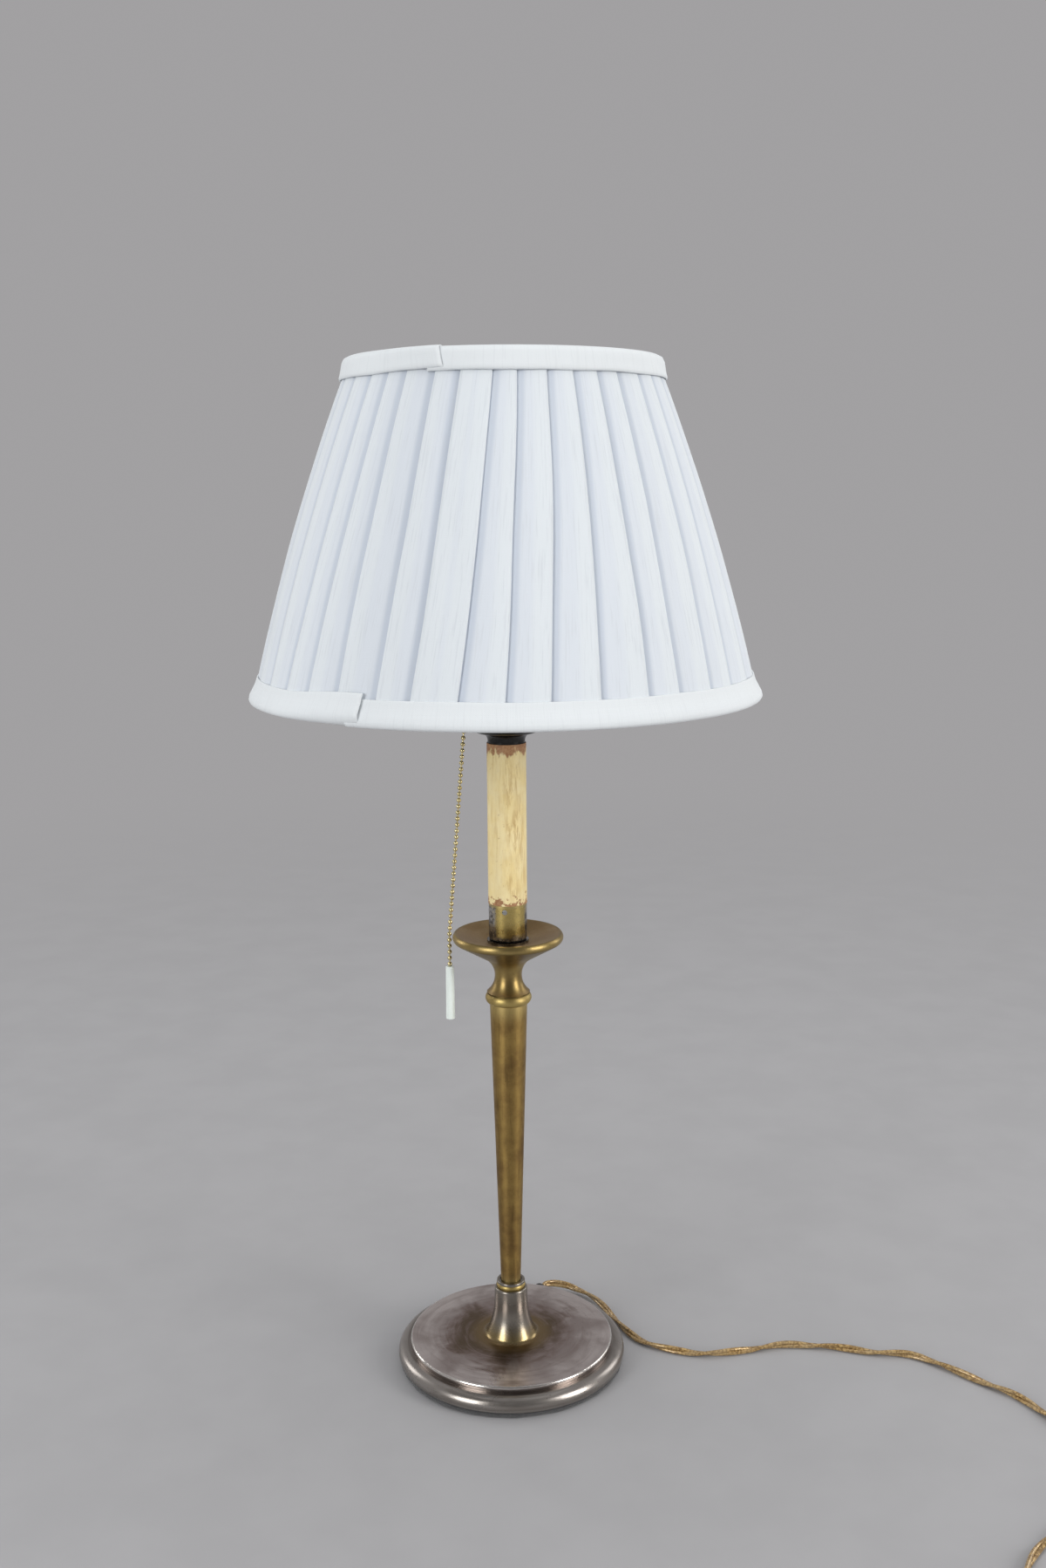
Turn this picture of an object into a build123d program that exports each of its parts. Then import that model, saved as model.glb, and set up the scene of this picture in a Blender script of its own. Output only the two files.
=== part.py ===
from build123d import *
import os
from math import atan2, cos, degrees, pi, radians, sin, sqrt, tan

os.makedirs("parts", exist_ok=True)

# Candlestick table lamp in millimetres, +Z up, origin on the table under the middle of the base.
# The front faces -Y and the pull chain hangs on the -X side.

# Fits
slip_fit = 0.05  # radial play between parts that slide over one another
moving_gap = 0.35  # least gap round a part that moves
chain_gap = 0.6  # gap between the hanging chain and the rim it leans on
cloth_gap = 0.15  # play between cloth, band and wire

# Felt pad
felt_thickness = 3.0
felt_inset = 0.8  # felt edge behind the foot of the rim

# Base: a spun shell with a rounded rim, a flat plate one step up and a bell-shaped pedestal
shell_wall = 1.2
rim_radius = 58.9
rim_foot_inset = 0.7
rim_bulge_height = 2.6  # widest line of the rim above its foot
rim_height = 7.2
rim_shoulder_inset = 5.4
plate_ledge = 1.0  # flat ledge between the rim's shoulder and the edge of the plate
plate_step = 3.3
plate_edge_round = 1.1
neck_radius = 8.65
bell_radius = 36.0  # long curve down the side of the pedestal
bell_sweep = 28.0  # degrees of that curve
foot_round = 3.2  # short curve from the bell out to the plate
pedestal_height = 26.4
pedestal_top_radius = 8.45
pedestal_shoulder_round = 1.0

# Ballast ring in the base
ballast_bore_radius = 15.5
ballast_play = 0.7
cord_slot_width = 5.5
cord_slot_height = 6.5

# Tie rod, a hollow threaded tube that holds the stem together
rod_radius = 3.95
rod_bore_radius = 2.6
rod_tail = 3.2  # rod below its nut
nut_width = 11.4
nut_height = 4.0
washer_radius = 6.4
washer_thickness = 1.2

# Collar between pedestal and column
collar_ring_radius = 7.5
collar_ring_height = 2.4
collar_cap_radius = 7.3
collar_cap_height = 1.4
collar_recess_radius = 5.8
collar_recess_depth = 0.8

# Column
column_length = 153.8
column_foot_radius = 5.0
column_top_radius = 9.42
column_bore_play = 0.15

# Knop ring on the column
knop_radius = 11.6
knop_height = 5.2
knop_foot_radius = 9.7
knop_top_radius = 10.5
groove_radius = 10.0
groove_height = 0.8

# Drip pan on its waisted stem
pan_foot_radius = 10.8
waist_radius = 6.8
waist_height = 8.5
waist_upper_radius = 10.5
underside_slope = 30.0  # degrees above the table
pan_radius = 27.6
pan_height = 30.2
pan_lip_height = 4.2
pan_lip_width = 1.9
pan_lip_bulge = 1.4  # widest line below the top of the lip
pan_seat_radius = 11.6
pan_seat_drop = 4.4  # seat of the cup below the lip

# Candle cup
cup_radius = 9.5
cup_wall = 1.2
cup_height = 20.2
cup_floor = 1.6
cup_flange_radius = 10.4
cup_flange_height = 1.4
cup_foot_round = 1.4
spigot_height = 5.0
grub_screw_radius = 1.25
grub_screw_length = 3.4
grub_screw_drop = 3.1  # below the rim of the cup
grub_screw_sink = 0.15
grub_screw_azimuth = -99.0

# Candle tube
candle_radius = 9.65
candle_wall = 1.35
candle_length = 80.3

# Lampholder
holder_neck_radius = 9.2
holder_neck_height = 1.0
holder_cove = 4.0
holder_shoulder = 4.3
cap_height = 24.0
cap_wall = 2.2
cap_floor = 7.5
cap_thread_depth = 5.0  # how far the rod screws into the cap
insert_radius = 15.1
insert_thickness = 4.5
insert_seat_depth = 2.0  # seat of the insert below the top of the cap
skirt_radius = 18.6
skirt_height = 34.0
skirt_flange_radius = 22.0
skirt_flange_height = 2.5
skirt_flange_rise = 7.0  # flange above the foot of the skirt
screw_shell_bore = 13.3
screw_shell_wall = 0.5
screw_shell_height = 22.0
contact_radius = 5.0
contact_thickness = 1.2
terminal_radius = 2.1
terminal_height = 3.0
terminal_offset = (5.5, 8.5)
shade_ring_radius = 22.5
shade_ring_height = 5.0

# Pull switch in the lampholder
pin_radius = 1.0
pin_offset = 5.5  # pin from the lamp's axis
pin_drop = 5.0  # pin below the insert
hub_radius = 2.2
hub_width = 3.2
ear_width = 2.0
spring_radius = 1.9
spring_length = 2.0
lever_reach = 14.4
lever_swing = 24.0  # degrees from rest to fully pulled
lever_thickness = 1.2
lever_end_radius = 2.6
lever_hole_radius = 1.45

# Pull chain
bead_radius = 1.15
bead_pitch = 3.1
chain_wire_radius = 0.35
top_beads = 4
spout_bore_gap = 0.4
spout_wall = 0.9
spout_length = 5.4
spout_mouth_radius = 3.4
spout_mouth_length = 1.4
spout_lug_height = 2.4
spout_lug_width = 3.6
handle_length = 27.4
handle_top_radius = 2.05
handle_foot_radius = 2.25
handle_bore_play = 0.15
handle_socket_depth = 3.0
hanging_beads = 5  # beads between the pan's rim and the handle

# Bulb
bulb_tip_radius = 3.6
bulb_tip_height = 1.0
bulb_base_play = 0.15
bulb_base_height = 25.0
bulb_base_cone = 2.0
bulb_radius = 28.0
bulb_neck_radius = 12.6
bulb_neck_height = 6.0
bulb_body_height = 45.0  # neck to the widest line
bulb_wall = 0.9

# Shade
shade_height = 157.8
shade_bottom_radius = 123.4
shade_top_radius = 74.8
shade_bow = 3.4
shade_drop = 10.2  # lower edge below the holder's flange
band_thickness = 0.9
bottom_band_flare = 1.35  # lower edge of the band past the line of the cloth
top_band_flare = 2.0  # upper edge of the band past the line of the cloth
bottom_band_height = 11.8
top_band_height = 11.0
pleat_count = 36
pleat_depth_bottom = 1.6
pleat_depth_top = 1.2
pleat_fold_share = 0.12  # part of each pleat taken by its fold
cloth_thickness = 0.6
band_overhang = 0.5  # band past the edge of the cloth
ring_wire_radius = 1.2
ring_inset = 2.2  # ring wire inside the shade's lower and upper edge
rib_wire_radius = 1.0
rib_count = 6
arm_wire_radius = 1.25
arm_count = 3
fitter_radius = 25.5
fitter_thickness = 1.5
fitter_play = 0.15

# Flex
cord_radius = 1.8
cord_exit_azimuth = 75.0
cord_exit_height = 6.4
grommet_radius = 2.6
grommet_flange_radius = 3.3
grommet_flange = 1.5
grommet_neck = 3.2
inner_bend_radius = 11.0
coil_gap = 0.5
coil_inner_radius = 11.3
coil_half_turns = 9  # half turns in each layer

# Plug
plug_length = 34.0
plug_taper_length = 16.0
plug_width = 26.0
plug_thickness = 13.7
plug_neck_size = 9.0
plug_corner = 3.0
plug_pin_radius = 2.0
plug_pin_length = 19.0
plug_pin_spacing = 18.6

# Levels up the lamp
felt_top = felt_thickness
rim_top = felt_top + rim_height
plate_top = rim_top + plate_step
plate_under = plate_top - shell_wall
pedestal_top = plate_top + pedestal_height
web_under = pedestal_top - shell_wall
washer_foot = web_under - washer_thickness
nut_foot = washer_foot - nut_height
rod_foot = nut_foot - rod_tail
collar_cap_foot = pedestal_top + collar_ring_height
collar_top = collar_cap_foot + collar_cap_height
column_top = pedestal_top + column_length
knop_top = column_top + knop_height
pan_foot = knop_top + groove_height
waist_level = pan_foot + waist_height
pan_top = pan_foot + pan_height
pan_lip_foot = pan_top - pan_lip_height
pan_lip_middle = pan_top - pan_lip_bulge
cup_foot = pan_top - pan_seat_drop
cup_top = cup_foot + cup_height
candle_top = cup_top + candle_length
cap_foot = candle_top
cap_top = cap_foot + cap_height
rod_top = cap_foot + cap_thread_depth
insert_foot = cap_top - insert_seat_depth
insert_top = insert_foot + insert_thickness
skirt_top = cap_top + skirt_height
flange_foot = cap_top + skirt_flange_rise
fitter_foot = flange_foot + skirt_flange_height
fitter_top = fitter_foot + fitter_thickness
contact_top = insert_top + contact_thickness
shade_bottom = fitter_foot - shade_drop
shade_top = shade_bottom + shade_height

# Radii that follow from the sizes above
rod_hole_radius = rod_radius + slip_fit
rim_foot_radius = rim_radius - rim_foot_inset
rim_shoulder_radius = rim_radius - rim_shoulder_inset
plate_radius = rim_shoulder_radius - plate_ledge
cap_radius = holder_neck_radius + holder_cove + holder_shoulder
column_bore_radius = rod_radius + column_bore_play
column_slope = (column_top_radius - column_foot_radius) / column_length
collar_bore_radius = column_foot_radius + column_slope * (collar_top - pedestal_top) + slip_fit
spigot_radius = candle_radius - candle_wall - slip_fit


def polar(radius, angle, height=0.0):
    """A point at a radius and an angle in degrees round the lamp's axis."""
    return (radius * cos(radians(angle)), radius * sin(radians(angle)), height)


# Felt pad
with BuildPart() as felt_pad:
    with BuildSketch():
        Circle(rim_foot_radius - felt_inset)
    extrude(amount=felt_thickness)
felt_pad.part.label = "felt_pad"
export_step(felt_pad.part, "parts/felt_pad.step")

# Base shell, turned from the outside first and then hollowed
bell_reach = bell_radius - foot_round
foot_sweep = 90 - bell_sweep
foot_centre = (
    neck_radius + bell_radius - bell_reach * cos(radians(bell_sweep)),
    plate_top + foot_round,
)
bell_centre = (
    neck_radius + bell_radius,
    plate_top + foot_round + bell_reach * sin(radians(bell_sweep)),
)
exit_plane = Plane(origin=(0, 0, cord_exit_height), z_dir=polar(1, cord_exit_azimuth))
with BuildPart() as base_shell:
    with BuildSketch(Plane.XZ):
        with BuildLine():
            Line((0, felt_top), (rim_foot_radius, felt_top))
            ThreePointArc(
                (rim_foot_radius, felt_top),
                (rim_radius, felt_top + rim_bulge_height),
                (rim_shoulder_radius, rim_top),
            )
            Polyline(
                (rim_shoulder_radius, rim_top),
                (plate_radius, rim_top),
                (plate_radius, plate_top - plate_edge_round),
            )
            CenterArc(
                (plate_radius - plate_edge_round, plate_top - plate_edge_round), plate_edge_round, 0, 90
            )
            Line((plate_radius - plate_edge_round, plate_top), (foot_centre[0], plate_top))
            CenterArc(foot_centre, foot_round, 270, -foot_sweep)
            outer_bell = CenterArc(bell_centre, bell_radius, 180 + bell_sweep, -bell_sweep)
            shoulder = (pedestal_top_radius, pedestal_top - pedestal_shoulder_round)
            Line(outer_bell @ 1, shoulder)
            CenterArc(
                (pedestal_top_radius - pedestal_shoulder_round, shoulder[1]), pedestal_shoulder_round, 0, 90
            )
            Polyline(
                (pedestal_top_radius - pedestal_shoulder_round, pedestal_top),
                (0, pedestal_top),
                (0, felt_top),
            )
        make_face()
    revolve(axis=Axis.Z)
    with BuildSketch(Plane.XZ):
        with BuildLine():
            Line((0, felt_top), (rim_foot_radius - shell_wall, felt_top))
            ThreePointArc(
                (rim_foot_radius - shell_wall, felt_top),
                (rim_radius - shell_wall, felt_top + rim_bulge_height),
                (rim_shoulder_radius - shell_wall, rim_top - shell_wall),
            )
            Polyline(
                (rim_shoulder_radius - shell_wall, rim_top - shell_wall),
                (plate_radius - shell_wall, rim_top - shell_wall),
                (plate_radius - shell_wall, plate_under),
                (foot_centre[0], plate_under),
            )
            CenterArc(foot_centre, foot_round + shell_wall, 270, -foot_sweep)
            inner_bell = CenterArc(bell_centre, bell_radius + shell_wall, 180 + bell_sweep, -bell_sweep)
            Polyline(
                inner_bell @ 1,
                (pedestal_top_radius - shell_wall, web_under),
                (0, web_under),
                (0, felt_top),
            )
        make_face()
    revolve(axis=Axis.Z, mode=Mode.SUBTRACT)
    with BuildSketch(Plane.XY.offset(web_under)):
        Circle(rod_hole_radius)
    extrude(amount=shell_wall, mode=Mode.SUBTRACT)
    with BuildSketch(exit_plane.offset(rim_shoulder_radius - rim_shoulder_inset)):
        Circle(grommet_radius + slip_fit)
    extrude(amount=2 * rim_shoulder_inset + shell_wall, mode=Mode.SUBTRACT)
base_shell.part.label = "base_shell"
export_step(base_shell.part, "parts/base_shell.step")

# Ballast ring under the plate, with a slot for the flex
with BuildPart() as base_weight:
    with BuildSketch(Plane.XY.offset(felt_top)):
        Circle(plate_radius - shell_wall - ballast_play)
        Circle(ballast_bore_radius, mode=Mode.SUBTRACT)
    extrude(amount=plate_under - felt_top)
    with BuildSketch(Plane.XY.offset(felt_top)):
        with Locations(Location(polar(plate_radius / 2, cord_exit_azimuth), (0, 0, cord_exit_azimuth))):
            Rectangle(plate_radius, cord_slot_width)
    extrude(amount=cord_slot_height, mode=Mode.SUBTRACT)
base_weight.part.label = "base_weight"
export_step(base_weight.part, "parts/base_weight.step")

# Grommet in the rim
grommet_face = rim_radius + slip_fit + grommet_flange
with BuildPart() as cord_grommet:
    with BuildSketch(exit_plane.offset(rim_radius + slip_fit)):
        Circle(grommet_flange_radius)
    extrude(amount=grommet_flange)
    with BuildSketch(exit_plane.offset(rim_radius + slip_fit - grommet_neck)):
        Circle(grommet_radius)
    extrude(amount=grommet_neck)
    with BuildSketch(exit_plane.offset(rim_radius + slip_fit - grommet_neck)):
        Circle(cord_radius + slip_fit)
    extrude(amount=grommet_neck + grommet_flange, mode=Mode.SUBTRACT)
cord_grommet.part.label = "cord_grommet"
export_step(cord_grommet.part, "parts/cord_grommet.step")

# Tie rod with its nut and washer inside the pedestal
with BuildPart() as tie_rod:
    with BuildSketch(Plane.XY.offset(rod_foot)):
        Circle(rod_radius)
        Circle(rod_bore_radius, mode=Mode.SUBTRACT)
    extrude(amount=rod_top - rod_foot)
tie_rod.part.label = "tie_rod"
export_step(tie_rod.part, "parts/tie_rod.step")

with BuildPart() as rod_nut:
    with BuildSketch(Plane.XY.offset(nut_foot)):
        RegularPolygon(nut_width / 2, 6, major_radius=False)
        Circle(rod_hole_radius, mode=Mode.SUBTRACT)
    extrude(amount=nut_height)
rod_nut.part.label = "rod_nut"
export_step(rod_nut.part, "parts/rod_nut.step")

with BuildPart() as rod_washer:
    with BuildSketch(Plane.XY.offset(washer_foot)):
        Circle(washer_radius)
        Circle(rod_hole_radius, mode=Mode.SUBTRACT)
    extrude(amount=washer_thickness)
rod_washer.part.label = "rod_washer"
export_step(rod_washer.part, "parts/rod_washer.step")

# Collar: a brass bead under a plated cap ring
collar_bead = collar_ring_height / 2
with BuildPart() as collar_ring:
    with BuildSketch(Plane.XZ):
        with BuildLine():
            Polyline(
                (collar_ring_radius - collar_bead / 2, collar_cap_foot),
                (collar_bore_radius, collar_cap_foot),
                (collar_bore_radius, pedestal_top),
                (collar_ring_radius - collar_bead / 2, pedestal_top),
            )
            ThreePointArc(
                (collar_ring_radius - collar_bead / 2, pedestal_top),
                (collar_ring_radius, pedestal_top + collar_bead),
                (collar_ring_radius - collar_bead / 2, collar_cap_foot),
            )
        make_face()
    revolve(axis=Axis.Z)
collar_ring.part.label = "collar_ring"
export_step(collar_ring.part, "parts/collar_ring.step")

with BuildPart() as collar_cap:
    with BuildSketch(Plane.XY.offset(collar_cap_foot)):
        Circle(collar_cap_radius)
        Circle(collar_bore_radius, mode=Mode.SUBTRACT)
    extrude(amount=collar_cap_height)
    with BuildSketch(Plane.XY.offset(collar_top)):
        Circle(collar_recess_radius)
    extrude(amount=-collar_recess_depth, mode=Mode.SUBTRACT)
    cap_rim = collar_cap.faces().sort_by(Axis.Z)[-1].outer_wire().edges()
    fillet(cap_rim, (collar_cap_radius - collar_recess_radius) * 0.4)
collar_cap.part.label = "collar_cap"
export_step(collar_cap.part, "parts/collar_cap.step")

# Column, a tapered tube that is narrow at the foot
with BuildPart() as column:
    with BuildSketch(Plane.XZ):
        with BuildLine():
            Polyline(
                (column_bore_radius, pedestal_top),
                (column_foot_radius, pedestal_top),
                (column_top_radius, column_top),
                (column_bore_radius, column_top),
                close=True,
            )
        make_face()
    revolve(axis=Axis.Z)
column.part.label = "column"
export_step(column.part, "parts/column.step")

# Knop ring, a bead with a groove over it
with BuildPart() as knop_ring:
    with BuildSketch(Plane.XZ):
        with BuildLine():
            ThreePointArc(
                (knop_foot_radius, column_top),
                (knop_radius, column_top + knop_height / 2),
                (knop_top_radius, knop_top),
            )
            Polyline(
                (knop_top_radius, knop_top),
                (groove_radius, knop_top),
                (groove_radius, pan_foot),
                (column_bore_radius, pan_foot),
                (column_bore_radius, column_top),
                (knop_foot_radius, column_top),
            )
        make_face()
    revolve(axis=Axis.Z)
knop_ring.part.label = "knop_ring"
export_step(knop_ring.part, "parts/knop_ring.step")

# Drip pan with its waisted stem: two coves that meet at the waist, then the sloping underside
with BuildPart() as drip_pan:
    with BuildSketch(Plane.XZ):
        with BuildLine():
            waist = (waist_radius, waist_level)
            TangentArc(waist, (pan_foot_radius, pan_foot), tangent=(0, -1))
            upper_cove = CenterArc(
                (waist_radius + waist_upper_radius, waist_level),
                waist_upper_radius,
                180,
                underside_slope - 90,
            )
            cove_end = upper_cove @ 1
            lip_foot_radius = cove_end.X + (pan_lip_foot - cove_end.Y) / tan(radians(underside_slope))
            lip_foot_radius = min(lip_foot_radius, pan_radius - pan_lip_width / 4)
            Line(cove_end, (lip_foot_radius, pan_lip_foot))
            ThreePointArc(
                (lip_foot_radius, pan_lip_foot),
                (pan_radius, pan_lip_middle),
                (pan_radius - pan_lip_width / 2, pan_top),
            )
            Polyline(
                (pan_radius - pan_lip_width / 2, pan_top),
                (pan_radius - pan_lip_width, pan_top),
                (pan_seat_radius, cup_foot),
                (column_bore_radius, cup_foot),
                (column_bore_radius, pan_foot),
                (pan_foot_radius, pan_foot),
            )
        make_face()
    revolve(axis=Axis.Z)
drip_pan.part.label = "drip_pan"
export_step(drip_pan.part, "parts/drip_pan.step")

# Candle cup with a flanged foot and a spigot for the candle tube
screw_plane = Plane(origin=(0, 0, cup_top - grub_screw_drop), z_dir=polar(1, grub_screw_azimuth))
screw_outer = cup_radius - grub_screw_sink
flange_top = cup_foot + cup_flange_height
with BuildPart() as candle_cup:
    with BuildSketch(Plane.XZ):
        with BuildLine():
            Polyline(
                (rod_hole_radius, cup_foot),
                (cup_flange_radius, cup_foot),
                (cup_flange_radius, flange_top),
                (cup_radius - cup_foot_round, flange_top),
            )
            CenterArc((cup_radius - cup_foot_round, flange_top + cup_foot_round), cup_foot_round, 270, 90)
            Polyline(
                (cup_radius, flange_top + cup_foot_round),
                (cup_radius, cup_top),
                (spigot_radius, cup_top),
                (spigot_radius, cup_top + spigot_height),
                (spigot_radius - cup_wall, cup_top + spigot_height),
                (spigot_radius - cup_wall, cup_foot + cup_floor),
                (rod_hole_radius, cup_foot + cup_floor),
                (rod_hole_radius, cup_foot),
            )
        make_face()
    revolve(axis=Axis.Z)
    with BuildSketch(screw_plane):
        Circle(grub_screw_radius + slip_fit)
    extrude(amount=cup_flange_radius, mode=Mode.SUBTRACT)
candle_cup.part.label = "candle_cup"
export_step(candle_cup.part, "parts/candle_cup.step")

with BuildPart() as cup_screw:
    with BuildSketch(screw_plane.offset(screw_outer - grub_screw_length)):
        Circle(grub_screw_radius)
    extrude(amount=grub_screw_length)
    with BuildSketch(screw_plane.offset(screw_outer)):
        Rectangle(2 * grub_screw_radius, grub_screw_radius / 3)
    extrude(amount=-grub_screw_radius / 2, mode=Mode.SUBTRACT)
cup_screw.part.label = "cup_screw"
export_step(cup_screw.part, "parts/cup_screw.step")

# Candle tube
with BuildPart() as candle_tube:
    with BuildSketch(Plane.XY.offset(cup_top)):
        Circle(candle_radius)
        Circle(candle_radius - candle_wall, mode=Mode.SUBTRACT)
    extrude(amount=candle_length)
candle_tube.part.label = "candle_tube"
export_step(candle_tube.part, "parts/candle_tube.step")

# Pull switch geometry: the lever's end lifts the chain's line, which leans out to the rim of the pan
pin_level = insert_foot - pin_drop
half_swing = radians(lever_swing / 2)
lever_rise = lever_reach * sin(half_swing)
chain_top_point = (-pin_offset - lever_reach * cos(half_swing), pin_level + lever_rise)
chain_bend_point = (-pan_radius - chain_gap - bead_radius, pan_lip_middle)
chain_run = Vector(chain_bend_point[0] - chain_top_point[0], 0, chain_bend_point[1] - chain_top_point[1])
chain_direction = chain_run.normalized()
chain_travel = 2 * lever_rise / -chain_direction.Z
window_half = (cap_radius - pin_offset) * tan(half_swing) + lever_thickness + moving_gap
print("chain travel", round(chain_travel, 3), "direction", chain_direction)


def along_chain(distance):
    """A point on the chain's upper run, measured down from the lever's end at rest."""
    return Vector(chain_top_point[0], 0, chain_top_point[1]) + chain_direction * distance


# Lampholder cap, with a coved neck and a window for the lever
with BuildPart() as holder_cap:
    with BuildSketch(Plane.XZ):
        with BuildLine():
            Line((rod_hole_radius, cap_foot), (holder_neck_radius, cap_foot))
            Line((holder_neck_radius, cap_foot), (holder_neck_radius, cap_foot + holder_neck_height))
            cove = CenterArc(
                (holder_neck_radius + holder_cove, cap_foot + holder_neck_height), holder_cove, 180, -90
            )
            rounding = CenterArc(
                (holder_neck_radius + holder_cove, (cove @ 1).Y + holder_shoulder), holder_shoulder, 270, 90
            )
            Polyline(
                rounding @ 1,
                (cap_radius, cap_top),
                (insert_radius + slip_fit, cap_top),
                (insert_radius + slip_fit, insert_foot),
                (cap_radius - cap_wall - slip_fit, insert_foot),
                (cap_radius - cap_wall - slip_fit, (rounding @ 1).Y),
                (holder_neck_radius, cap_foot + cap_floor),
                (rod_hole_radius, cap_foot + cap_floor),
                (rod_hole_radius, cap_foot),
            )
        make_face()
    revolve(axis=Axis.Z)
    with BuildSketch(Plane.YZ):
        with Locations((0, pin_level)):
            Rectangle(hub_width + 4 * moving_gap, 2 * window_half)
    extrude(amount=-cap_radius - cap_wall, mode=Mode.SUBTRACT)
holder_cap.part.label = "holder_cap"
export_step(holder_cap.part, "parts/holder_cap.step")

# Insert with two ears that hold the lever's pin
spring_start = hub_width / 2 + moving_gap
ear_ends = (spring_start + spring_length + slip_fit, -hub_width / 2 - moving_gap - ear_width)
with BuildPart() as holder_insert:
    with BuildSketch(Plane.XY.offset(insert_foot)):
        Circle(insert_radius)
    extrude(amount=insert_thickness)
    for ear_start in ear_ends:
        with BuildSketch(Plane.XZ.offset(-ear_start)):
            with Locations((-pin_offset, insert_foot - pin_drop / 2)):
                Rectangle(2 * hub_radius, pin_drop)
            with Locations((-pin_offset, pin_level)):
                Circle(hub_radius)
                Circle(pin_radius + slip_fit, mode=Mode.SUBTRACT)
        extrude(amount=-ear_width)
holder_insert.part.label = "holder_insert"
export_step(holder_insert.part, "parts/holder_insert.step")

with BuildPart() as lever_pin:
    with BuildSketch(Plane.XZ.offset(-ear_ends[1])):
        with Locations((-pin_offset, pin_level)):
            Circle(pin_radius)
    extrude(amount=-(ear_ends[0] + ear_width - ear_ends[1]))
lever_pin.part.label = "lever_pin"
export_step(lever_pin.part, "parts/lever_pin.step")

# Return spring as the sleeve of its windings, out of sight on the pin
with BuildPart() as return_spring:
    with BuildSketch(Plane.XZ.offset(-spring_start)):
        with Locations((-pin_offset, pin_level)):
            Circle(spring_radius)
            Circle(pin_radius + slip_fit, mode=Mode.SUBTRACT)
    extrude(amount=-spring_length)
return_spring.part.label = "return_spring"
export_step(return_spring.part, "parts/return_spring.step")

# Lever at rest, its end tilted up by half its swing
lever_plane = Plane(
    origin=(-pin_offset, 0, pin_level),
    x_dir=(-cos(half_swing), 0, sin(half_swing)),
    z_dir=(sin(half_swing), 0, cos(half_swing)),
)
with BuildPart() as switch_lever:
    with BuildSketch(lever_plane.offset(-lever_thickness / 2)):
        with Locations((lever_reach / 2, 0)):
            Rectangle(lever_reach, hub_width)
        with Locations((lever_reach, 0)):
            Circle(lever_end_radius)
            Circle(lever_hole_radius, mode=Mode.SUBTRACT)
    extrude(amount=lever_thickness)
    with BuildSketch(Plane.XZ):
        with Locations((-pin_offset, pin_level)):
            Circle(hub_radius)
    extrude(amount=hub_width / 2, both=True)
    with BuildSketch(Plane.XZ):
        with Locations((-pin_offset, pin_level)):
            Circle(pin_radius + slip_fit)
    extrude(amount=hub_width, both=True, mode=Mode.SUBTRACT)
switch_lever.part.label = "switch_lever"
export_step(switch_lever.part, "parts/switch_lever.step")

# Chain spout on the side of the cap
bead_clear = (lever_thickness / 2 + moving_gap + bead_radius) / cos(2 * half_swing)
last_top_bead = bead_clear + (top_beads - 1) * bead_pitch
chain_joint = last_top_bead + bead_pitch / 2
print("chain joint", along_chain(chain_joint))
spout_end = chain_joint
spout_start = spout_end - spout_length
spout_bore_radius = bead_radius + spout_bore_gap
spout_radius = spout_bore_radius + spout_wall
with BuildPart() as chain_spout:
    with BuildSketch(Plane(origin=along_chain(spout_start), z_dir=chain_direction)):
        Circle(spout_radius)
    extrude(amount=spout_length)
    with BuildSketch(Plane(origin=along_chain(spout_end - spout_mouth_length), z_dir=chain_direction)):
        Circle(spout_radius)
    with BuildSketch(Plane(origin=along_chain(spout_end), z_dir=chain_direction)):
        Circle(spout_mouth_radius)
    loft()
    lug_top = along_chain(spout_start + slip_fit).Z - spout_wall
    with BuildSketch(Plane.XY.offset(lug_top - spout_lug_height)):
        with Locations((along_chain(spout_start).X / 2 - cap_radius / 2, 0)):
            Rectangle(cap_radius + along_chain(spout_start).X + 2 * spout_radius, spout_lug_width)
    extrude(amount=spout_lug_height)
    with BuildSketch(Plane.XY.offset(lug_top - 2 * spout_lug_height)):
        Circle(cap_radius)
    extrude(amount=4 * spout_lug_height, mode=Mode.SUBTRACT)
    with BuildSketch(Plane(origin=along_chain(spout_start), z_dir=chain_direction)):
        Circle(spout_bore_radius)
    extrude(amount=spout_length, mode=Mode.SUBTRACT)
    with BuildSketch(Plane(origin=along_chain(spout_end - spout_mouth_length), z_dir=chain_direction)):
        Circle(spout_bore_radius)
    with BuildSketch(Plane(origin=along_chain(spout_end), z_dir=chain_direction)):
        Circle(spout_mouth_radius - spout_wall / 2)
    loft(mode=Mode.SUBTRACT)
chain_spout.part.label = "chain_spout"
export_step(chain_spout.part, "parts/chain_spout.step")

# Top of the chain: a stop ball over the lever and the beads inside the spout
stop_ball = -bead_clear
with BuildPart() as chain_top:
    with BuildSketch(Plane(origin=along_chain(stop_ball), z_dir=chain_direction)):
        Circle(chain_wire_radius)
    extrude(amount=chain_joint - moving_gap / 2 - stop_ball)
    with Locations(along_chain(stop_ball)):
        Sphere(bead_radius)
    with Locations(*[along_chain(bead_clear + n * bead_pitch) for n in range(top_beads)]):
        Sphere(bead_radius)
chain_top.part.label = "chain_top"
export_step(chain_top.part, "parts/chain_top.step")

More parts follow.
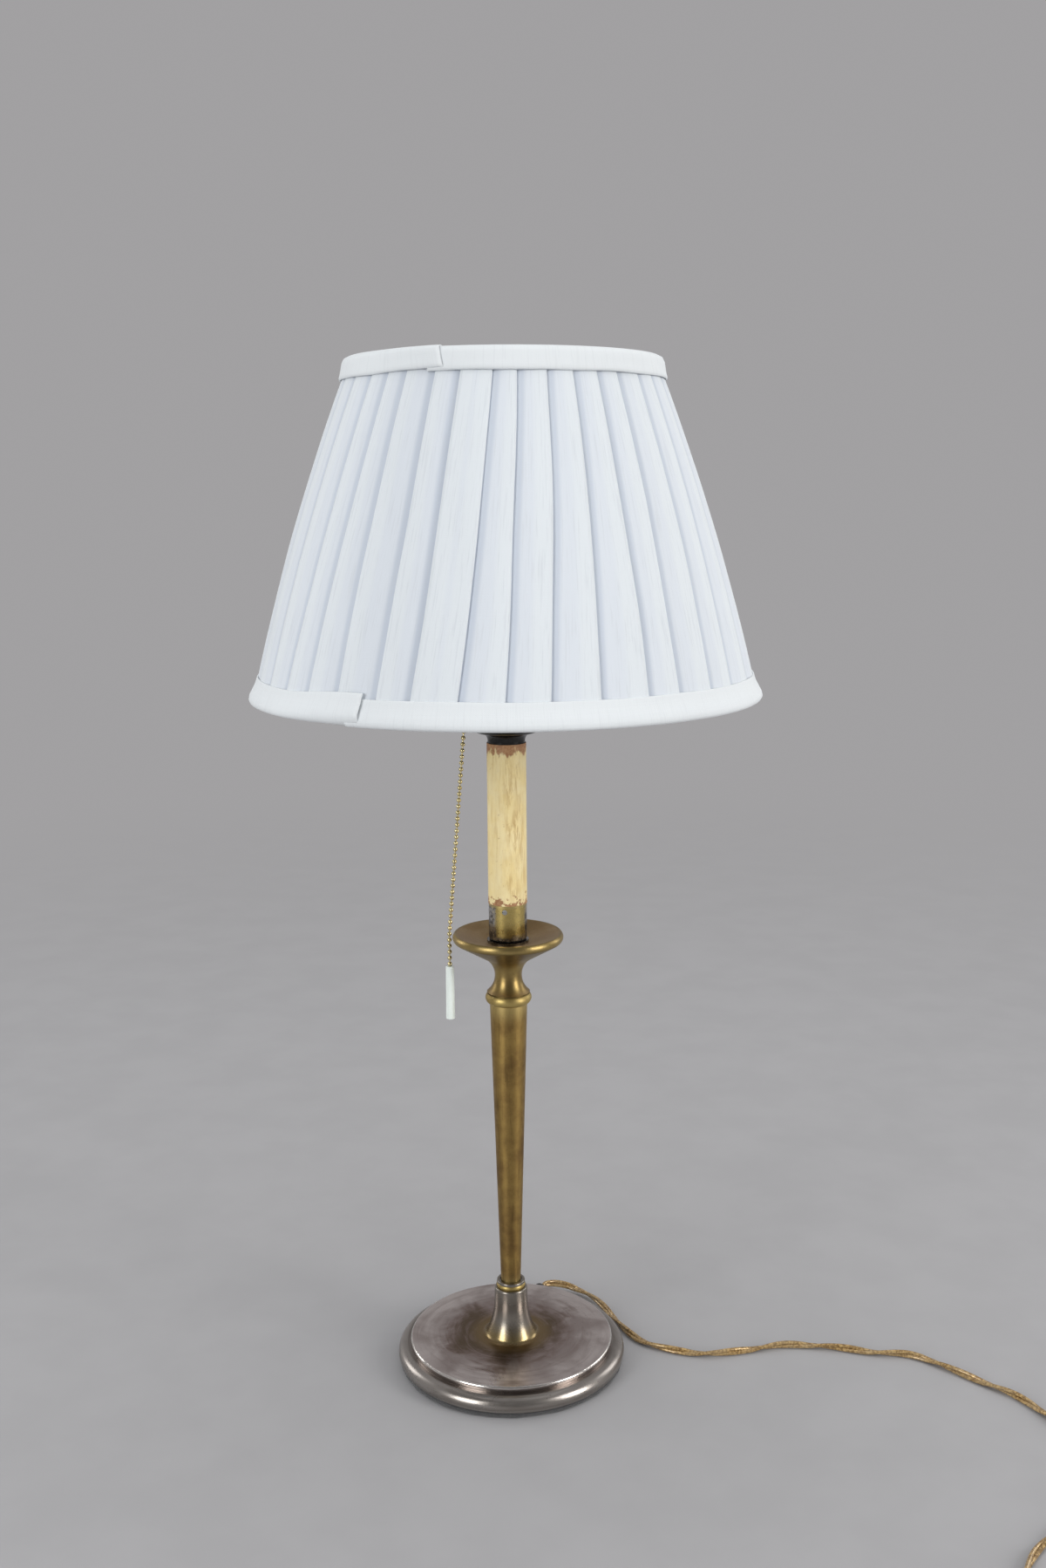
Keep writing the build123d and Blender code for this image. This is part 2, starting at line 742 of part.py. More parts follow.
# Hanging chain: it leans on the rim of the pan and drops straight from there to its handle
run_beads = int((chain_run.length - last_top_bead) / bead_pitch)
bend_bead = last_top_bead + run_beads * bead_pitch
bend_point = along_chain(bend_bead)
handle_top = bend_point.Z - hanging_beads * bead_pitch - bead_radius
handle_foot = handle_top - handle_length
end_bead = handle_foot + handle_socket_depth - bead_radius
with BuildPart() as pull_chain:
    wire_start = chain_joint + moving_gap / 2
    with BuildSketch(Plane(origin=along_chain(wire_start), z_dir=chain_direction)):
        Circle(chain_wire_radius)
    extrude(amount=bend_bead - wire_start)
    with BuildSketch(Plane.XY.offset(bend_point.Z)):
        with Locations((bend_point.X, 0)):
            Circle(chain_wire_radius)
    extrude(amount=end_bead - bend_point.Z)
    with Locations(*[along_chain(last_top_bead + n * bead_pitch) for n in range(1, run_beads + 1)]):
        Sphere(bead_radius)
    with Locations(*[bend_point - Vector(0, 0, n * bead_pitch) for n in range(1, hanging_beads + 1)]):
        Sphere(bead_radius)
    with Locations((bend_point.X, 0, end_bead)):
        Sphere(bead_radius)
pull_chain.part.label = "pull_chain"
export_step(pull_chain.part, "parts/pull_chain.step")

# Pull handle, a tapered sleeve threaded on the end of the chain
with BuildPart() as pull_handle:
    with BuildSketch(Plane.XY.offset(handle_foot)):
        with Locations((bend_point.X, 0)):
            Circle(handle_foot_radius)
    with BuildSketch(Plane.XY.offset(handle_top)):
        with Locations((bend_point.X, 0)):
            Circle(handle_top_radius)
    loft()
    fillet(pull_handle.edges(), handle_top_radius / 6)
    with BuildSketch(Plane.XY.offset(handle_foot)):
        with Locations((bend_point.X, 0)):
            Circle(chain_wire_radius + handle_bore_play)
    extrude(amount=handle_length, mode=Mode.SUBTRACT)
    with BuildSketch(Plane.XY.offset(handle_foot)):
        with Locations((bend_point.X, 0)):
            Circle(bead_radius + handle_bore_play)
    extrude(amount=handle_socket_depth + slip_fit, mode=Mode.SUBTRACT)
pull_handle.part.label = "pull_handle"
export_step(pull_handle.part, "parts/pull_handle.step")

# Threaded skirt of the lampholder with the flange that carries the shade
with BuildPart() as holder_skirt:
    with BuildSketch(Plane.XZ):
        with BuildLine():
            Polyline(
                (insert_radius + slip_fit, cap_top),
                (skirt_radius, cap_top),
                (skirt_radius, flange_foot),
                (skirt_flange_radius, flange_foot),
                (skirt_flange_radius, fitter_foot),
                (skirt_radius, fitter_foot),
                (skirt_radius, skirt_top),
                (screw_shell_bore + screw_shell_wall + slip_fit, skirt_top),
                (screw_shell_bore + screw_shell_wall + slip_fit, insert_top),
                (insert_radius + slip_fit, insert_top),
                close=True,
            )
        make_face()
    revolve(axis=Axis.Z)
holder_skirt.part.label = "holder_skirt"
export_step(holder_skirt.part, "parts/holder_skirt.step")

with BuildPart() as screw_shell:
    with BuildSketch(Plane.XY.offset(insert_top)):
        Circle(screw_shell_bore + screw_shell_wall)
        Circle(screw_shell_bore, mode=Mode.SUBTRACT)
    extrude(amount=screw_shell_height)
screw_shell.part.label = "screw_shell"
export_step(screw_shell.part, "parts/screw_shell.step")

with BuildPart() as centre_contact:
    with BuildSketch(Plane.XY.offset(insert_top)):
        Circle(contact_radius)
    extrude(amount=contact_thickness)
centre_contact.part.label = "centre_contact"
export_step(centre_contact.part, "parts/centre_contact.step")

with BuildPart() as terminal_screws:
    for side in (1, -1):
        with BuildSketch(Plane.XY.offset(insert_foot)):
            with Locations((terminal_offset[0], side * terminal_offset[1])):
                Circle(terminal_radius)
        extrude(amount=-terminal_height)
        with BuildSketch(Plane.XY.offset(insert_foot - terminal_height)):
            with Locations((terminal_offset[0], side * terminal_offset[1])):
                Rectangle(2 * terminal_radius, terminal_radius / 3)
        extrude(amount=terminal_radius / 3, mode=Mode.SUBTRACT)
terminal_screws.part.label = "terminal_screws"
export_step(terminal_screws.part, "parts/terminal_screws.step")

with BuildPart() as shade_ring:
    with BuildSketch(Plane.XY.offset(fitter_top)):
        Circle(shade_ring_radius)
        Circle(skirt_radius + slip_fit, mode=Mode.SUBTRACT)
    extrude(amount=shade_ring_height)
shade_ring.part.label = "shade_ring"
export_step(shade_ring.part, "parts/shade_ring.step")

# Bulb
bulb_base_radius = screw_shell_bore - bulb_base_play
bulb_base_foot = contact_top + bulb_tip_height
bulb_base_top = bulb_base_foot + bulb_base_height
bulb_middle = bulb_base_top + bulb_body_height
with BuildPart() as bulb_tip:
    with BuildSketch(Plane.XY.offset(contact_top)):
        Circle(bulb_tip_radius)
    extrude(amount=bulb_tip_height)
    tip_edge = bulb_tip.edges().sort_by(Axis.Z)[0]
    fillet(tip_edge, bulb_tip_height / 3)
bulb_tip.part.label = "bulb_tip"
export_step(bulb_tip.part, "parts/bulb_tip.step")

with BuildPart() as bulb_base:
    with BuildSketch(Plane.XZ):
        with BuildLine():
            Polyline(
                (0, bulb_base_foot),
                (bulb_tip_radius + bulb_base_cone, bulb_base_foot),
                (bulb_base_radius, bulb_base_foot + bulb_base_cone),
                (bulb_base_radius, bulb_base_top),
                (0, bulb_base_top),
                close=True,
            )
        make_face()
    revolve(axis=Axis.Z)
bulb_base.part.label = "bulb_base"
export_step(bulb_base.part, "parts/bulb_base.step")

neck_top = bulb_base_top + bulb_neck_height
with BuildPart() as bulb_glass:
    for inset, glass_mode in ((0, Mode.ADD), (bulb_wall, Mode.SUBTRACT)):
        with BuildSketch(Plane.XZ):
            with BuildLine():
                neck = (bulb_neck_radius - inset, neck_top)
                crown = CenterArc((0, bulb_middle), bulb_radius - inset, 0, 90)
                throat = TangentArc(crown @ 0, neck, tangent=(0, -1))
                Polyline(
                    throat @ 1,
                    (bulb_neck_radius - inset, bulb_base_top + inset),
                    (0, bulb_base_top + inset),
                    crown @ 1,
                )
            make_face()
        revolve(axis=Axis.Z, mode=glass_mode)
bulb_glass.part.label = "bulb_glass"
export_step(bulb_glass.part, "parts/bulb_glass.step")

# Shade cover: knife pleats between the lower edge, a bowed middle and the upper edge
cloth_bottom = shade_bottom + band_overhang
cloth_top = shade_top - band_overhang
cloth_middle = (cloth_bottom + cloth_top) / 2
crest_bottom = shade_bottom_radius - band_thickness - cloth_gap - bottom_band_flare
crest_top = shade_top_radius - band_thickness - cloth_gap - top_band_flare
crest_middle = (crest_bottom + crest_top) / 2 + shade_bow
depth_middle = (pleat_depth_bottom + pleat_depth_top) / 2
cloth_sections = (
    (cloth_bottom, crest_bottom, pleat_depth_bottom),
    (cloth_middle, crest_middle, depth_middle),
    (cloth_top, crest_top, pleat_depth_top),
)
pleat_angle = 360 / pleat_count


def lining_radius(crest, depth):
    """Radius inside the cloth, clear of the flat run from each valley to its crest."""
    return (crest - depth) * cos(radians(pleat_angle / 2)) - cloth_thickness


def pleat_outline(crest, depth):
    """Corners of the pleats: each rises from its valley to its crest, then folds back."""
    corners = []
    for pleat in range(pleat_count):
        start = pleat * pleat_angle
        corners.append(polar(crest - depth, start)[:2])
        corners.append(polar(crest, start + pleat_angle * (1 - pleat_fold_share))[:2])
    return corners


with BuildPart() as shade_cover:
    for level, crest, depth in cloth_sections:
        with BuildSketch(Plane.XY.offset(level)):
            Polygon(*pleat_outline(crest, depth), align=None)
    loft(ruled=True)
    for level, crest, depth in cloth_sections:
        with BuildSketch(Plane.XY.offset(level)):
            Circle(lining_radius(crest, depth))
    loft(ruled=True, mode=Mode.SUBTRACT)
shade_cover.part.label = "shade_cover"
export_step(shade_cover.part, "parts/shade_cover.step")

# Trim bands over the lower and upper edge of the cloth
lower_slope = (crest_bottom - crest_middle) / (cloth_middle - cloth_bottom)
upper_slope = (crest_middle - crest_top) / (cloth_top - cloth_middle)
with BuildPart() as shade_bottom_band:
    with BuildSketch(Plane.XZ):
        with BuildLine():
            cloth_in = lower_slope * (bottom_band_height - band_overhang)
            upper_radius = crest_bottom - cloth_in + cloth_gap + band_thickness
            Polyline(
                (shade_bottom_radius - band_thickness, shade_bottom),
                (shade_bottom_radius, shade_bottom),
                (upper_radius, shade_bottom + bottom_band_height),
                (upper_radius - band_thickness, shade_bottom + bottom_band_height),
                close=True,
            )
        make_face()
    revolve(axis=Axis.Z)
shade_bottom_band.part.label = "shade_bottom_band"
export_step(shade_bottom_band.part, "parts/shade_bottom_band.step")

with BuildPart() as shade_top_band:
    with BuildSketch(Plane.XZ):
        with BuildLine():
            cloth_out = upper_slope * (top_band_height - band_overhang)
            lower_radius = crest_top + cloth_out + cloth_gap + band_thickness
            Polyline(
                (lower_radius - band_thickness, shade_top - top_band_height),
                (lower_radius, shade_top - top_band_height),
                (shade_top_radius, shade_top),
                (shade_top_radius - band_thickness, shade_top),
                close=True,
            )
        make_face()
    revolve(axis=Axis.Z)
shade_top_band.part.label = "shade_top_band"
export_step(shade_top_band.part, "parts/shade_top_band.step")

# Wire frame of the shade: two rings, six ribs between them and a fitter with three arms.
# The rods stop just clear of the ring wire, where the real ones are spot welded.
lower_ring_level = shade_bottom + ring_inset
upper_ring_level = shade_top - ring_inset
lower_ring_radius = lining_radius(crest_bottom, pleat_depth_bottom) - cloth_gap - ring_wire_radius
lower_ring_radius = lower_ring_radius - lower_slope * (ring_inset + ring_wire_radius)
upper_ring_radius = lining_radius(crest_top, pleat_depth_top) - cloth_gap - ring_wire_radius
weld_offset = ring_wire_radius + slip_fit
with BuildPart() as shade_lower_ring:
    with Locations((0, 0, lower_ring_level)):
        Torus(lower_ring_radius, ring_wire_radius)
shade_lower_ring.part.label = "shade_lower_ring"
export_step(shade_lower_ring.part, "parts/shade_lower_ring.step")

with BuildPart() as shade_upper_ring:
    with Locations((0, 0, upper_ring_level)):
        Torus(upper_ring_radius, ring_wire_radius)
shade_upper_ring.part.label = "shade_upper_ring"
export_step(shade_upper_ring.part, "parts/shade_upper_ring.step")

with BuildPart() as shade_ribs:
    for rib in range(rib_count):
        rib_angle = (rib + 0.5) * 360 / rib_count
        rib_foot = Vector(*polar(lower_ring_radius, rib_angle, lower_ring_level))
        rib_top = Vector(*polar(upper_ring_radius, rib_angle, upper_ring_level))
        rib_direction = (rib_top - rib_foot).normalized()
        with BuildSketch(Plane(origin=rib_foot + rib_direction * weld_offset, z_dir=rib_direction)):
            Circle(rib_wire_radius)
        extrude(amount=(rib_top - rib_foot).length - 2 * weld_offset)
shade_ribs.part.label = "shade_ribs"
export_step(shade_ribs.part, "parts/shade_ribs.step")

with BuildPart() as shade_fitter:
    with BuildSketch(Plane.XY.offset(fitter_foot)):
        Circle(fitter_radius)
        Circle(skirt_radius + fitter_play, mode=Mode.SUBTRACT)
    extrude(amount=fitter_thickness)
    for arm in range(arm_count):
        arm_angle = 60 + arm * 360 / arm_count
        arm_level = fitter_foot + fitter_thickness / 2
        arm_start = Vector(*polar(fitter_radius - arm_wire_radius, arm_angle, arm_level))
        arm_end = Vector(*polar(lower_ring_radius, arm_angle, lower_ring_level))
        with BuildSketch(Plane(origin=arm_start, z_dir=arm_end - arm_start)):
            Circle(arm_wire_radius)
        extrude(amount=(arm_end - arm_start).length - weld_offset)
shade_fitter.part.label = "shade_fitter"
export_step(shade_fitter.part, "parts/shade_fitter.step")

# Flex inside the lamp: in from the grommet, up through the rod to the insert
inner_start = Vector(*polar(grommet_face, cord_exit_azimuth, cord_exit_height))
with BuildPart() as inner_flex:
    with BuildLine() as inner_route:
        FilletPolyline(inner_start, (0, 0, cord_exit_height), (0, 0, insert_foot), radius=inner_bend_radius)
    with BuildSketch(Plane(origin=inner_start, z_dir=inner_route.line % 0)):
        Circle(cord_radius)
    sweep()
inner_flex.part.label = "inner_flex"
export_step(inner_flex.part, "parts/inner_flex.step")

# Free flex on the table: out of the grommet, round the right of the base, along the table and
# back past the right front corner. The heights settle from the grommet to the table.
table = cord_radius
cord_route = [
    tuple(inner_start),
    polar(grommet_face + 5.5, cord_exit_azimuth, cord_exit_height),
    (21.6, 66.8, 5.2),
    (27.6, 67.8, 4.4),
    (34.4, 66.0, 3.6),
    (42.2, 60.4, 2.6),
    (49.4, 50.4, table),
    (54.6, 38.6, table),
    (58.6, 27.0, table),
    (64.4, 16.4, table),
    (72.0, 8.2, table),
    (81.6, 2.2, table),
    (94.4, -1.4, table),
    (110.6, -2.6, table),
    (127.6, 2.6, table),
    (144.0, 6.2, table),
    (159.6, 5.8, table),
    (176.0, 1.8, table),
    (193.4, -2.6, table),
    (209.4, -4.2, table),
    (219.8, -11.4, table),
    (229.2, -22.0, table),
    (240.4, -31.6, table),
    (252.4, -43.4, table),
    (262.0, -58.8, table),
    (269.2, -76.2, table),
    (272.4, -94.6, table),
    (270.2, -113.2, table),
    (261.2, -129.4, table),
    (248.2, -141.0, table),
    (234.8, -149.8, table),
    (224.8, -159.4, table),
    (217.0, -171.4, table),
    (210.2, -181.2, table),
    (203.2, -190.4, table),
    (196.4, -200.4, table),
]


def corner_radii(route):
    """The largest tangent arcs that the runs beside each corner leave room for."""
    radii = []
    for before, here, after in zip(route, route[1:], route[2:]):
        run_in = Vector(*here) - Vector(*before)
        run_out = Vector(*after) - Vector(*here)
        turn = radians(run_in.get_angle(run_out))
        radii.append(0.45 * min(run_in.length, run_out.length) / tan(turn / 2))
    return radii


cord_radii = corner_radii(cord_route)
print("cord radii", [round(radius, 1) for radius in cord_radii])
with BuildPart() as flex_cord:
    with BuildLine() as cord_line:
        FilletPolyline(*cord_route, radius=cord_radii)
    with BuildSketch(Plane(origin=cord_line.line @ 0, z_dir=cord_line.line % 0)):
        Circle(cord_radius)
    sweep()
flex_cord.part.label = "flex_cord"
export_step(flex_cord.part, "parts/flex_cord.step")

# Coil of the length that is out of view: half turns that spiral in on the table, climb a layer
# in the innermost half turn and spiral out again on top
coil_pitch = 2 * cord_radius + coil_gap
coil_start = cord_line.line @ 1
coil_heading = cord_line.line % 1
coil_side = Vector(-coil_heading.Y, coil_heading.X, 0)
lead_length = 2 * cord_radius
half_turn_radii = [coil_inner_radius + n * coil_pitch / 2 for n in range(coil_half_turns, 0, -1)]
with BuildPart() as flex_coil:
    with BuildLine() as coil_line:
        here = coil_start + coil_heading * lead_length
        Line(coil_start, here)
        heading = coil_heading
        side = coil_side
        for radius in half_turn_radii:
            TangentArc(here, here + side * 2 * radius, tangent=heading)
            here = here + side * 2 * radius
            heading = heading * -1
            side = side * -1
        climb_end = here + side * 2 * coil_inner_radius + Vector(0, 0, coil_pitch)
        climb_reach = sqrt(coil_inner_radius**2 + coil_pitch**2 / 4)
        climb_middle = (here + climb_end) * 0.5 + heading * climb_reach
        first_climb = TangentArc(here, climb_middle, tangent=heading)
        TangentArc(climb_middle, climb_end, tangent=first_climb % 1)
        here = climb_end
        heading = heading * -1
        side = side * -1
        for radius in reversed(half_turn_radii):
            TangentArc(here, here + side * 2 * radius, tangent=heading)
            here = here + side * 2 * radius
            heading = heading * -1
            side = side * -1
        coil_end = here + heading * lead_length
        Line(here, coil_end)
    with BuildSketch(Plane(origin=coil_start, z_dir=coil_heading)):
        Circle(cord_radius)
    sweep()
flex_coil.part.label = "flex_coil"
export_step(flex_coil.part, "parts/flex_coil.step")

# Tail from the coil to the plug
tail_heading = degrees(atan2(heading.Y, heading.X))
tail_steps = ((9.0, 0.0, 0.0), (14.0, -7.0, -1.8), (15.0, -16.0, -0.6), (14.0, -23.0, 1.6))
tail_route = [tuple(coil_end)]
for run, turn, rise in tail_steps:
    last = Vector(*tail_route[-1])
    tail_route.append(tuple(last + Vector(*polar(run, tail_heading + turn, rise))))
plug_level = plug_thickness / 2
plug_heading = tail_heading + tail_steps[-1][1]
tail_route[-1] = (tail_route[-1][0], tail_route[-1][1], plug_level)
tail_route.append(tuple(Vector(*tail_route[-1]) + Vector(*polar(8.0, plug_heading - 5.0))))
tail_radii = corner_radii(tail_route)
print("tail radii", [round(radius, 1) for radius in tail_radii])
with BuildPart() as flex_tail:
    with BuildLine() as tail_line:
        FilletPolyline(*tail_route, radius=tail_radii)
    with BuildSketch(Plane(origin=tail_line.line @ 0, z_dir=tail_line.line % 0)):
        Circle(cord_radius)
    sweep()
flex_tail.part.label = "flex_tail"
export_step(flex_tail.part, "parts/flex_tail.step")

# Plug lying on the table with two round pins
plug_plane = Plane(origin=tail_line.line @ 1, x_dir=(0, 0, 1), z_dir=tail_line.line % 1)
with BuildPart() as plug_body:
    with BuildSketch(plug_plane):
        RectangleRounded(plug_neck_size, plug_neck_size, plug_corner)
    with BuildSketch(plug_plane.offset(plug_taper_length)):
        RectangleRounded(plug_thickness, plug_width, plug_corner)
    loft()
    with BuildSketch(plug_plane.offset(plug_taper_length)):
        RectangleRounded(plug_thickness, plug_width, plug_corner)
    extrude(amount=plug_length - plug_taper_length)
plug_body.part.label = "plug_body"
export_step(plug_body.part, "parts/plug_body.step")

with BuildPart() as plug_pins:
    with BuildSketch(plug_plane.offset(plug_length)):
        with GridLocations(0, plug_pin_spacing, 1, 2):
            Circle(plug_pin_radius)
    extrude(amount=plug_pin_length)
    pin_axis = Axis(plug_plane.origin, plug_plane.z_dir)
    pin_ends = plug_pins.faces().filter_by(GeomType.PLANE).sort_by(pin_axis)[-2:]
    fillet([face.outer_wire().edges()[0] for face in pin_ends], plug_pin_radius / 2)
plug_pins.part.label = "plug_pins"
export_step(plug_pins.part, "parts/plug_pins.step")

# Each tube's volume against its section times its length, and the coil's least gap to itself
cord_section = pi * cord_radius**2
for name, tube, line in (
    ("flex_cord", flex_cord, cord_line),
    ("flex_coil", flex_coil, coil_line),
    ("flex_tail", flex_tail, tail_line),
    ("inner_flex", inner_flex, inner_route),
):
    length = line.wire().length
    ratio = tube.part.volume / (cord_section * length)
    print(name, "length", round(length, 1), "volume ratio", round(ratio, 4))
free_length = sum(line.wire().length for line in (cord_line, coil_line, tail_line))
print("free flex length", round(free_length, 1))
coil_wire = coil_line.wire()
sample_step = cord_radius
sample_count = int(coil_wire.length / sample_step)
samples = [tuple(coil_wire.position_at(n / sample_count)) for n in range(sample_count + 1)]
apart = int(4 * cord_radius / sample_step) + 1
least = min(
    (a[0] - b[0]) ** 2 + (a[1] - b[1]) ** 2 + (a[2] - b[2]) ** 2
    for i, a in enumerate(samples)
    for b in samples[i + apart :]
)
print("coil least gap", round(sqrt(least) - 2 * cord_radius, 3))
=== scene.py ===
import math
import random
import bpy
from mathutils import Matrix, Vector, noise


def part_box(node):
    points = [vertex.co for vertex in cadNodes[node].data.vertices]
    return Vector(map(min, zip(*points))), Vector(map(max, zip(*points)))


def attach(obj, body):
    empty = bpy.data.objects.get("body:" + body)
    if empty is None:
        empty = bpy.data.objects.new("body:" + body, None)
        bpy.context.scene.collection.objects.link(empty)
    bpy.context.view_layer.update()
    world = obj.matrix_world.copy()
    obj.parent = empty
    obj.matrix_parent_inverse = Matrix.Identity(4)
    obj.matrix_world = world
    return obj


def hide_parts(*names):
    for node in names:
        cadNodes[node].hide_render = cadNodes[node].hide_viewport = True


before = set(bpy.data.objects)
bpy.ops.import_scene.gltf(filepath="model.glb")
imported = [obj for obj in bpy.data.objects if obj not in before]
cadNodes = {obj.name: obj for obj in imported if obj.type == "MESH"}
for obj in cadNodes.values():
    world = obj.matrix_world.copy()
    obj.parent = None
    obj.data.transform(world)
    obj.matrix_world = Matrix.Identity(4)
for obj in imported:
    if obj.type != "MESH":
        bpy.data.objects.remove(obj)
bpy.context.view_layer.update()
mm = 0.001
fullTurn = 2 * math.pi
print("frame loaded with", len(cadNodes), "nodes")

# camera
photoCamera = {
    "place": (8.0, -762.66, 446.3),
    "pitchDown": 10.48,
    "roll": -0.38,
    "focalPx": 1813.4,
    "imageHigh": 1798,
    "sensorHigh": 36,
    "clipFrom": 0.01,
}


def setCamera(spec):
    lens = bpy.data.cameras.new("photoCamera")
    lens.sensor_fit = "VERTICAL"
    lens.sensor_height = spec["sensorHigh"]
    lens.lens = spec["sensorHigh"] * spec["focalPx"] / spec["imageHigh"]
    lens.clip_start = spec["clipFrom"]
    eye = bpy.data.objects.new("photoCamera", lens)
    bpy.context.scene.collection.objects.link(eye)
    tilt = Matrix.Rotation(math.radians(90 - spec["pitchDown"]), 4, "X")
    turn = Matrix.Rotation(math.radians(spec["roll"]), 4, "Z")
    eye.matrix_world = Matrix.Translation(Vector(spec["place"]) * mm) @ tilt @ turn
    bpy.context.scene.camera = eye


setCamera(photoCamera)
print("camera set")


# helpers for shaders
def fill(tree, node, inputs):  # a socket is linked, anything else becomes the socket's own value
    for key, value in inputs.items():
        if isinstance(value, bpy.types.NodeSocket):
            tree.links.new(value, node.inputs[key])
        else:
            node.inputs[key].default_value = value
    return node


def startMaterial(name, settings):
    paint = bpy.data.materials.new(name)
    paint.use_nodes = True
    tree = paint.node_tree
    return paint, tree, fill(tree, tree.nodes["Principled BSDF"], settings)


def sums(tree, operation, a, b=0.0, clamp=False):
    node = tree.nodes.new("ShaderNodeMath")
    node.operation = operation
    node.use_clamp = clamp
    return fill(tree, node, {0: a, 1: b}).outputs[0]


def plus(tree, a, b):
    return sums(tree, "ADD", a, b)


def times(tree, a, b):
    return sums(tree, "MULTIPLY", a, b)


def vectorSums(tree, operation, a, b=(0, 0, 0)):
    node = tree.nodes.new("ShaderNodeVectorMath")
    node.operation = operation
    return fill(tree, node, {0: a, 1: b}).outputs


def scaledPlace(tree, spot, stretch):  # to millimetres; a small stretch draws a pattern out along its axis
    return vectorSums(tree, "MULTIPLY", spot, [1000 * s for s in stretch])[0]


def place(tree, stretch=(1, 1, 1)):  # position on the lamp in millimetres
    return scaledPlace(tree, tree.nodes.new("ShaderNodeTexCoord").outputs["Object"], stretch)


def clothPlace(tree, name, stretch=(1, 1, 1)):  # position along a cloth in millimetres
    spot = tree.nodes.new("ShaderNodeUVMap")
    spot.uv_map = name
    return scaledPlace(tree, spot.outputs[0], stretch)


def parts(tree, vector):  # the three values of a vector
    return list(fill(tree, tree.nodes.new("ShaderNodeSeparateXYZ"), {0: vector}).outputs)


def axisDistance(tree, where):  # distance from the lamp's axis
    return vectorSums(tree, "LENGTH", vectorSums(tree, "MULTIPLY", where, (1, 1, 0))[0])[1]


def grain(tree, where, scale, detail=3.0, rough=0.55, twist=0.0):
    node = tree.nodes.new("ShaderNodeTexNoise")
    settings = {"Vector": where, "Scale": scale, "Detail": detail, "Roughness": rough, "Distortion": twist}
    return fill(tree, node, settings).outputs[0]


def spread(tree, value, low, high, toLow=0.0, toHigh=1.0, kind="SMOOTHSTEP"):
    node = tree.nodes.new("ShaderNodeMapRange")
    node.interpolation_type = kind
    node.clamp = True
    return fill(tree, node, {0: value, 1: low, 2: high, 3: toLow, 4: toHigh}).outputs[0]


def blendColour(tree, amount, low, high):
    node = tree.nodes.new("ShaderNodeMix")
    node.data_type = "RGBA"
    low, high = ((*c, 1) if isinstance(c, tuple) else c for c in (low, high))
    return fill(tree, node, {0: amount, 6: low, 7: high}).outputs[2]


def wash(tree, colour, over, mask, share):  # a second colour where the mask is, at a share of its strength
    return blendColour(tree, times(tree, mask, share), colour, over)


def mixShaders(tree, amount, low, high):
    node = tree.nodes.new("ShaderNodeMixShader")
    return fill(tree, node, {0: amount, 1: low.outputs[0], 2: high.outputs[0]})


def relief(tree, shader, height, strength, depth):
    node = tree.nodes.new("ShaderNodeBump")
    fill(tree, node, {"Height": height, "Strength": strength, "Distance": depth * mm})
    tree.links.new(node.outputs[0], shader.inputs["Normal"])


def cloudyFinish(tree, shader, cloud, tones, colours, rough):  # colour and shine follow one cloud
    fill(tree, shader, {
        "Base Color": blendColour(tree, spread(tree, cloud, *tones), *colours),
        "Roughness": spread(tree, cloud, 0.2, 0.8, *rough),
    })


# helpers for pieces
def finishWith(names, paint):
    for name in names:
        cadNodes[name].data.materials.clear()
        cadNodes[name].data.materials.append(paint)


def addMesh(name, points, faces, paint):
    mesh = bpy.data.meshes.new(name)
    mesh.from_pydata(points, [], faces)
    mesh.update()
    piece = bpy.data.objects.new(name, mesh)
    bpy.context.scene.collection.objects.link(piece)
    mesh.materials.append(paint)
    mesh.shade_smooth()
    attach(piece, "lamp")
    return piece


def ringFaces(first, rows, across):  # faces between closed rows of points
    faces = []
    for row in range(first, first + (rows - 1) * across, across):
        for k in range(across):
            a, b = row + k, row + (k + 1) % across
            faces.append((a, b, b + across, a + across))
    return faces


def endFaces(first, rows, across):  # faces that close the first and the last row
    last = first + (rows - 1) * across
    return [list(range(first, first + across))[::-1], list(range(last, last + across))]


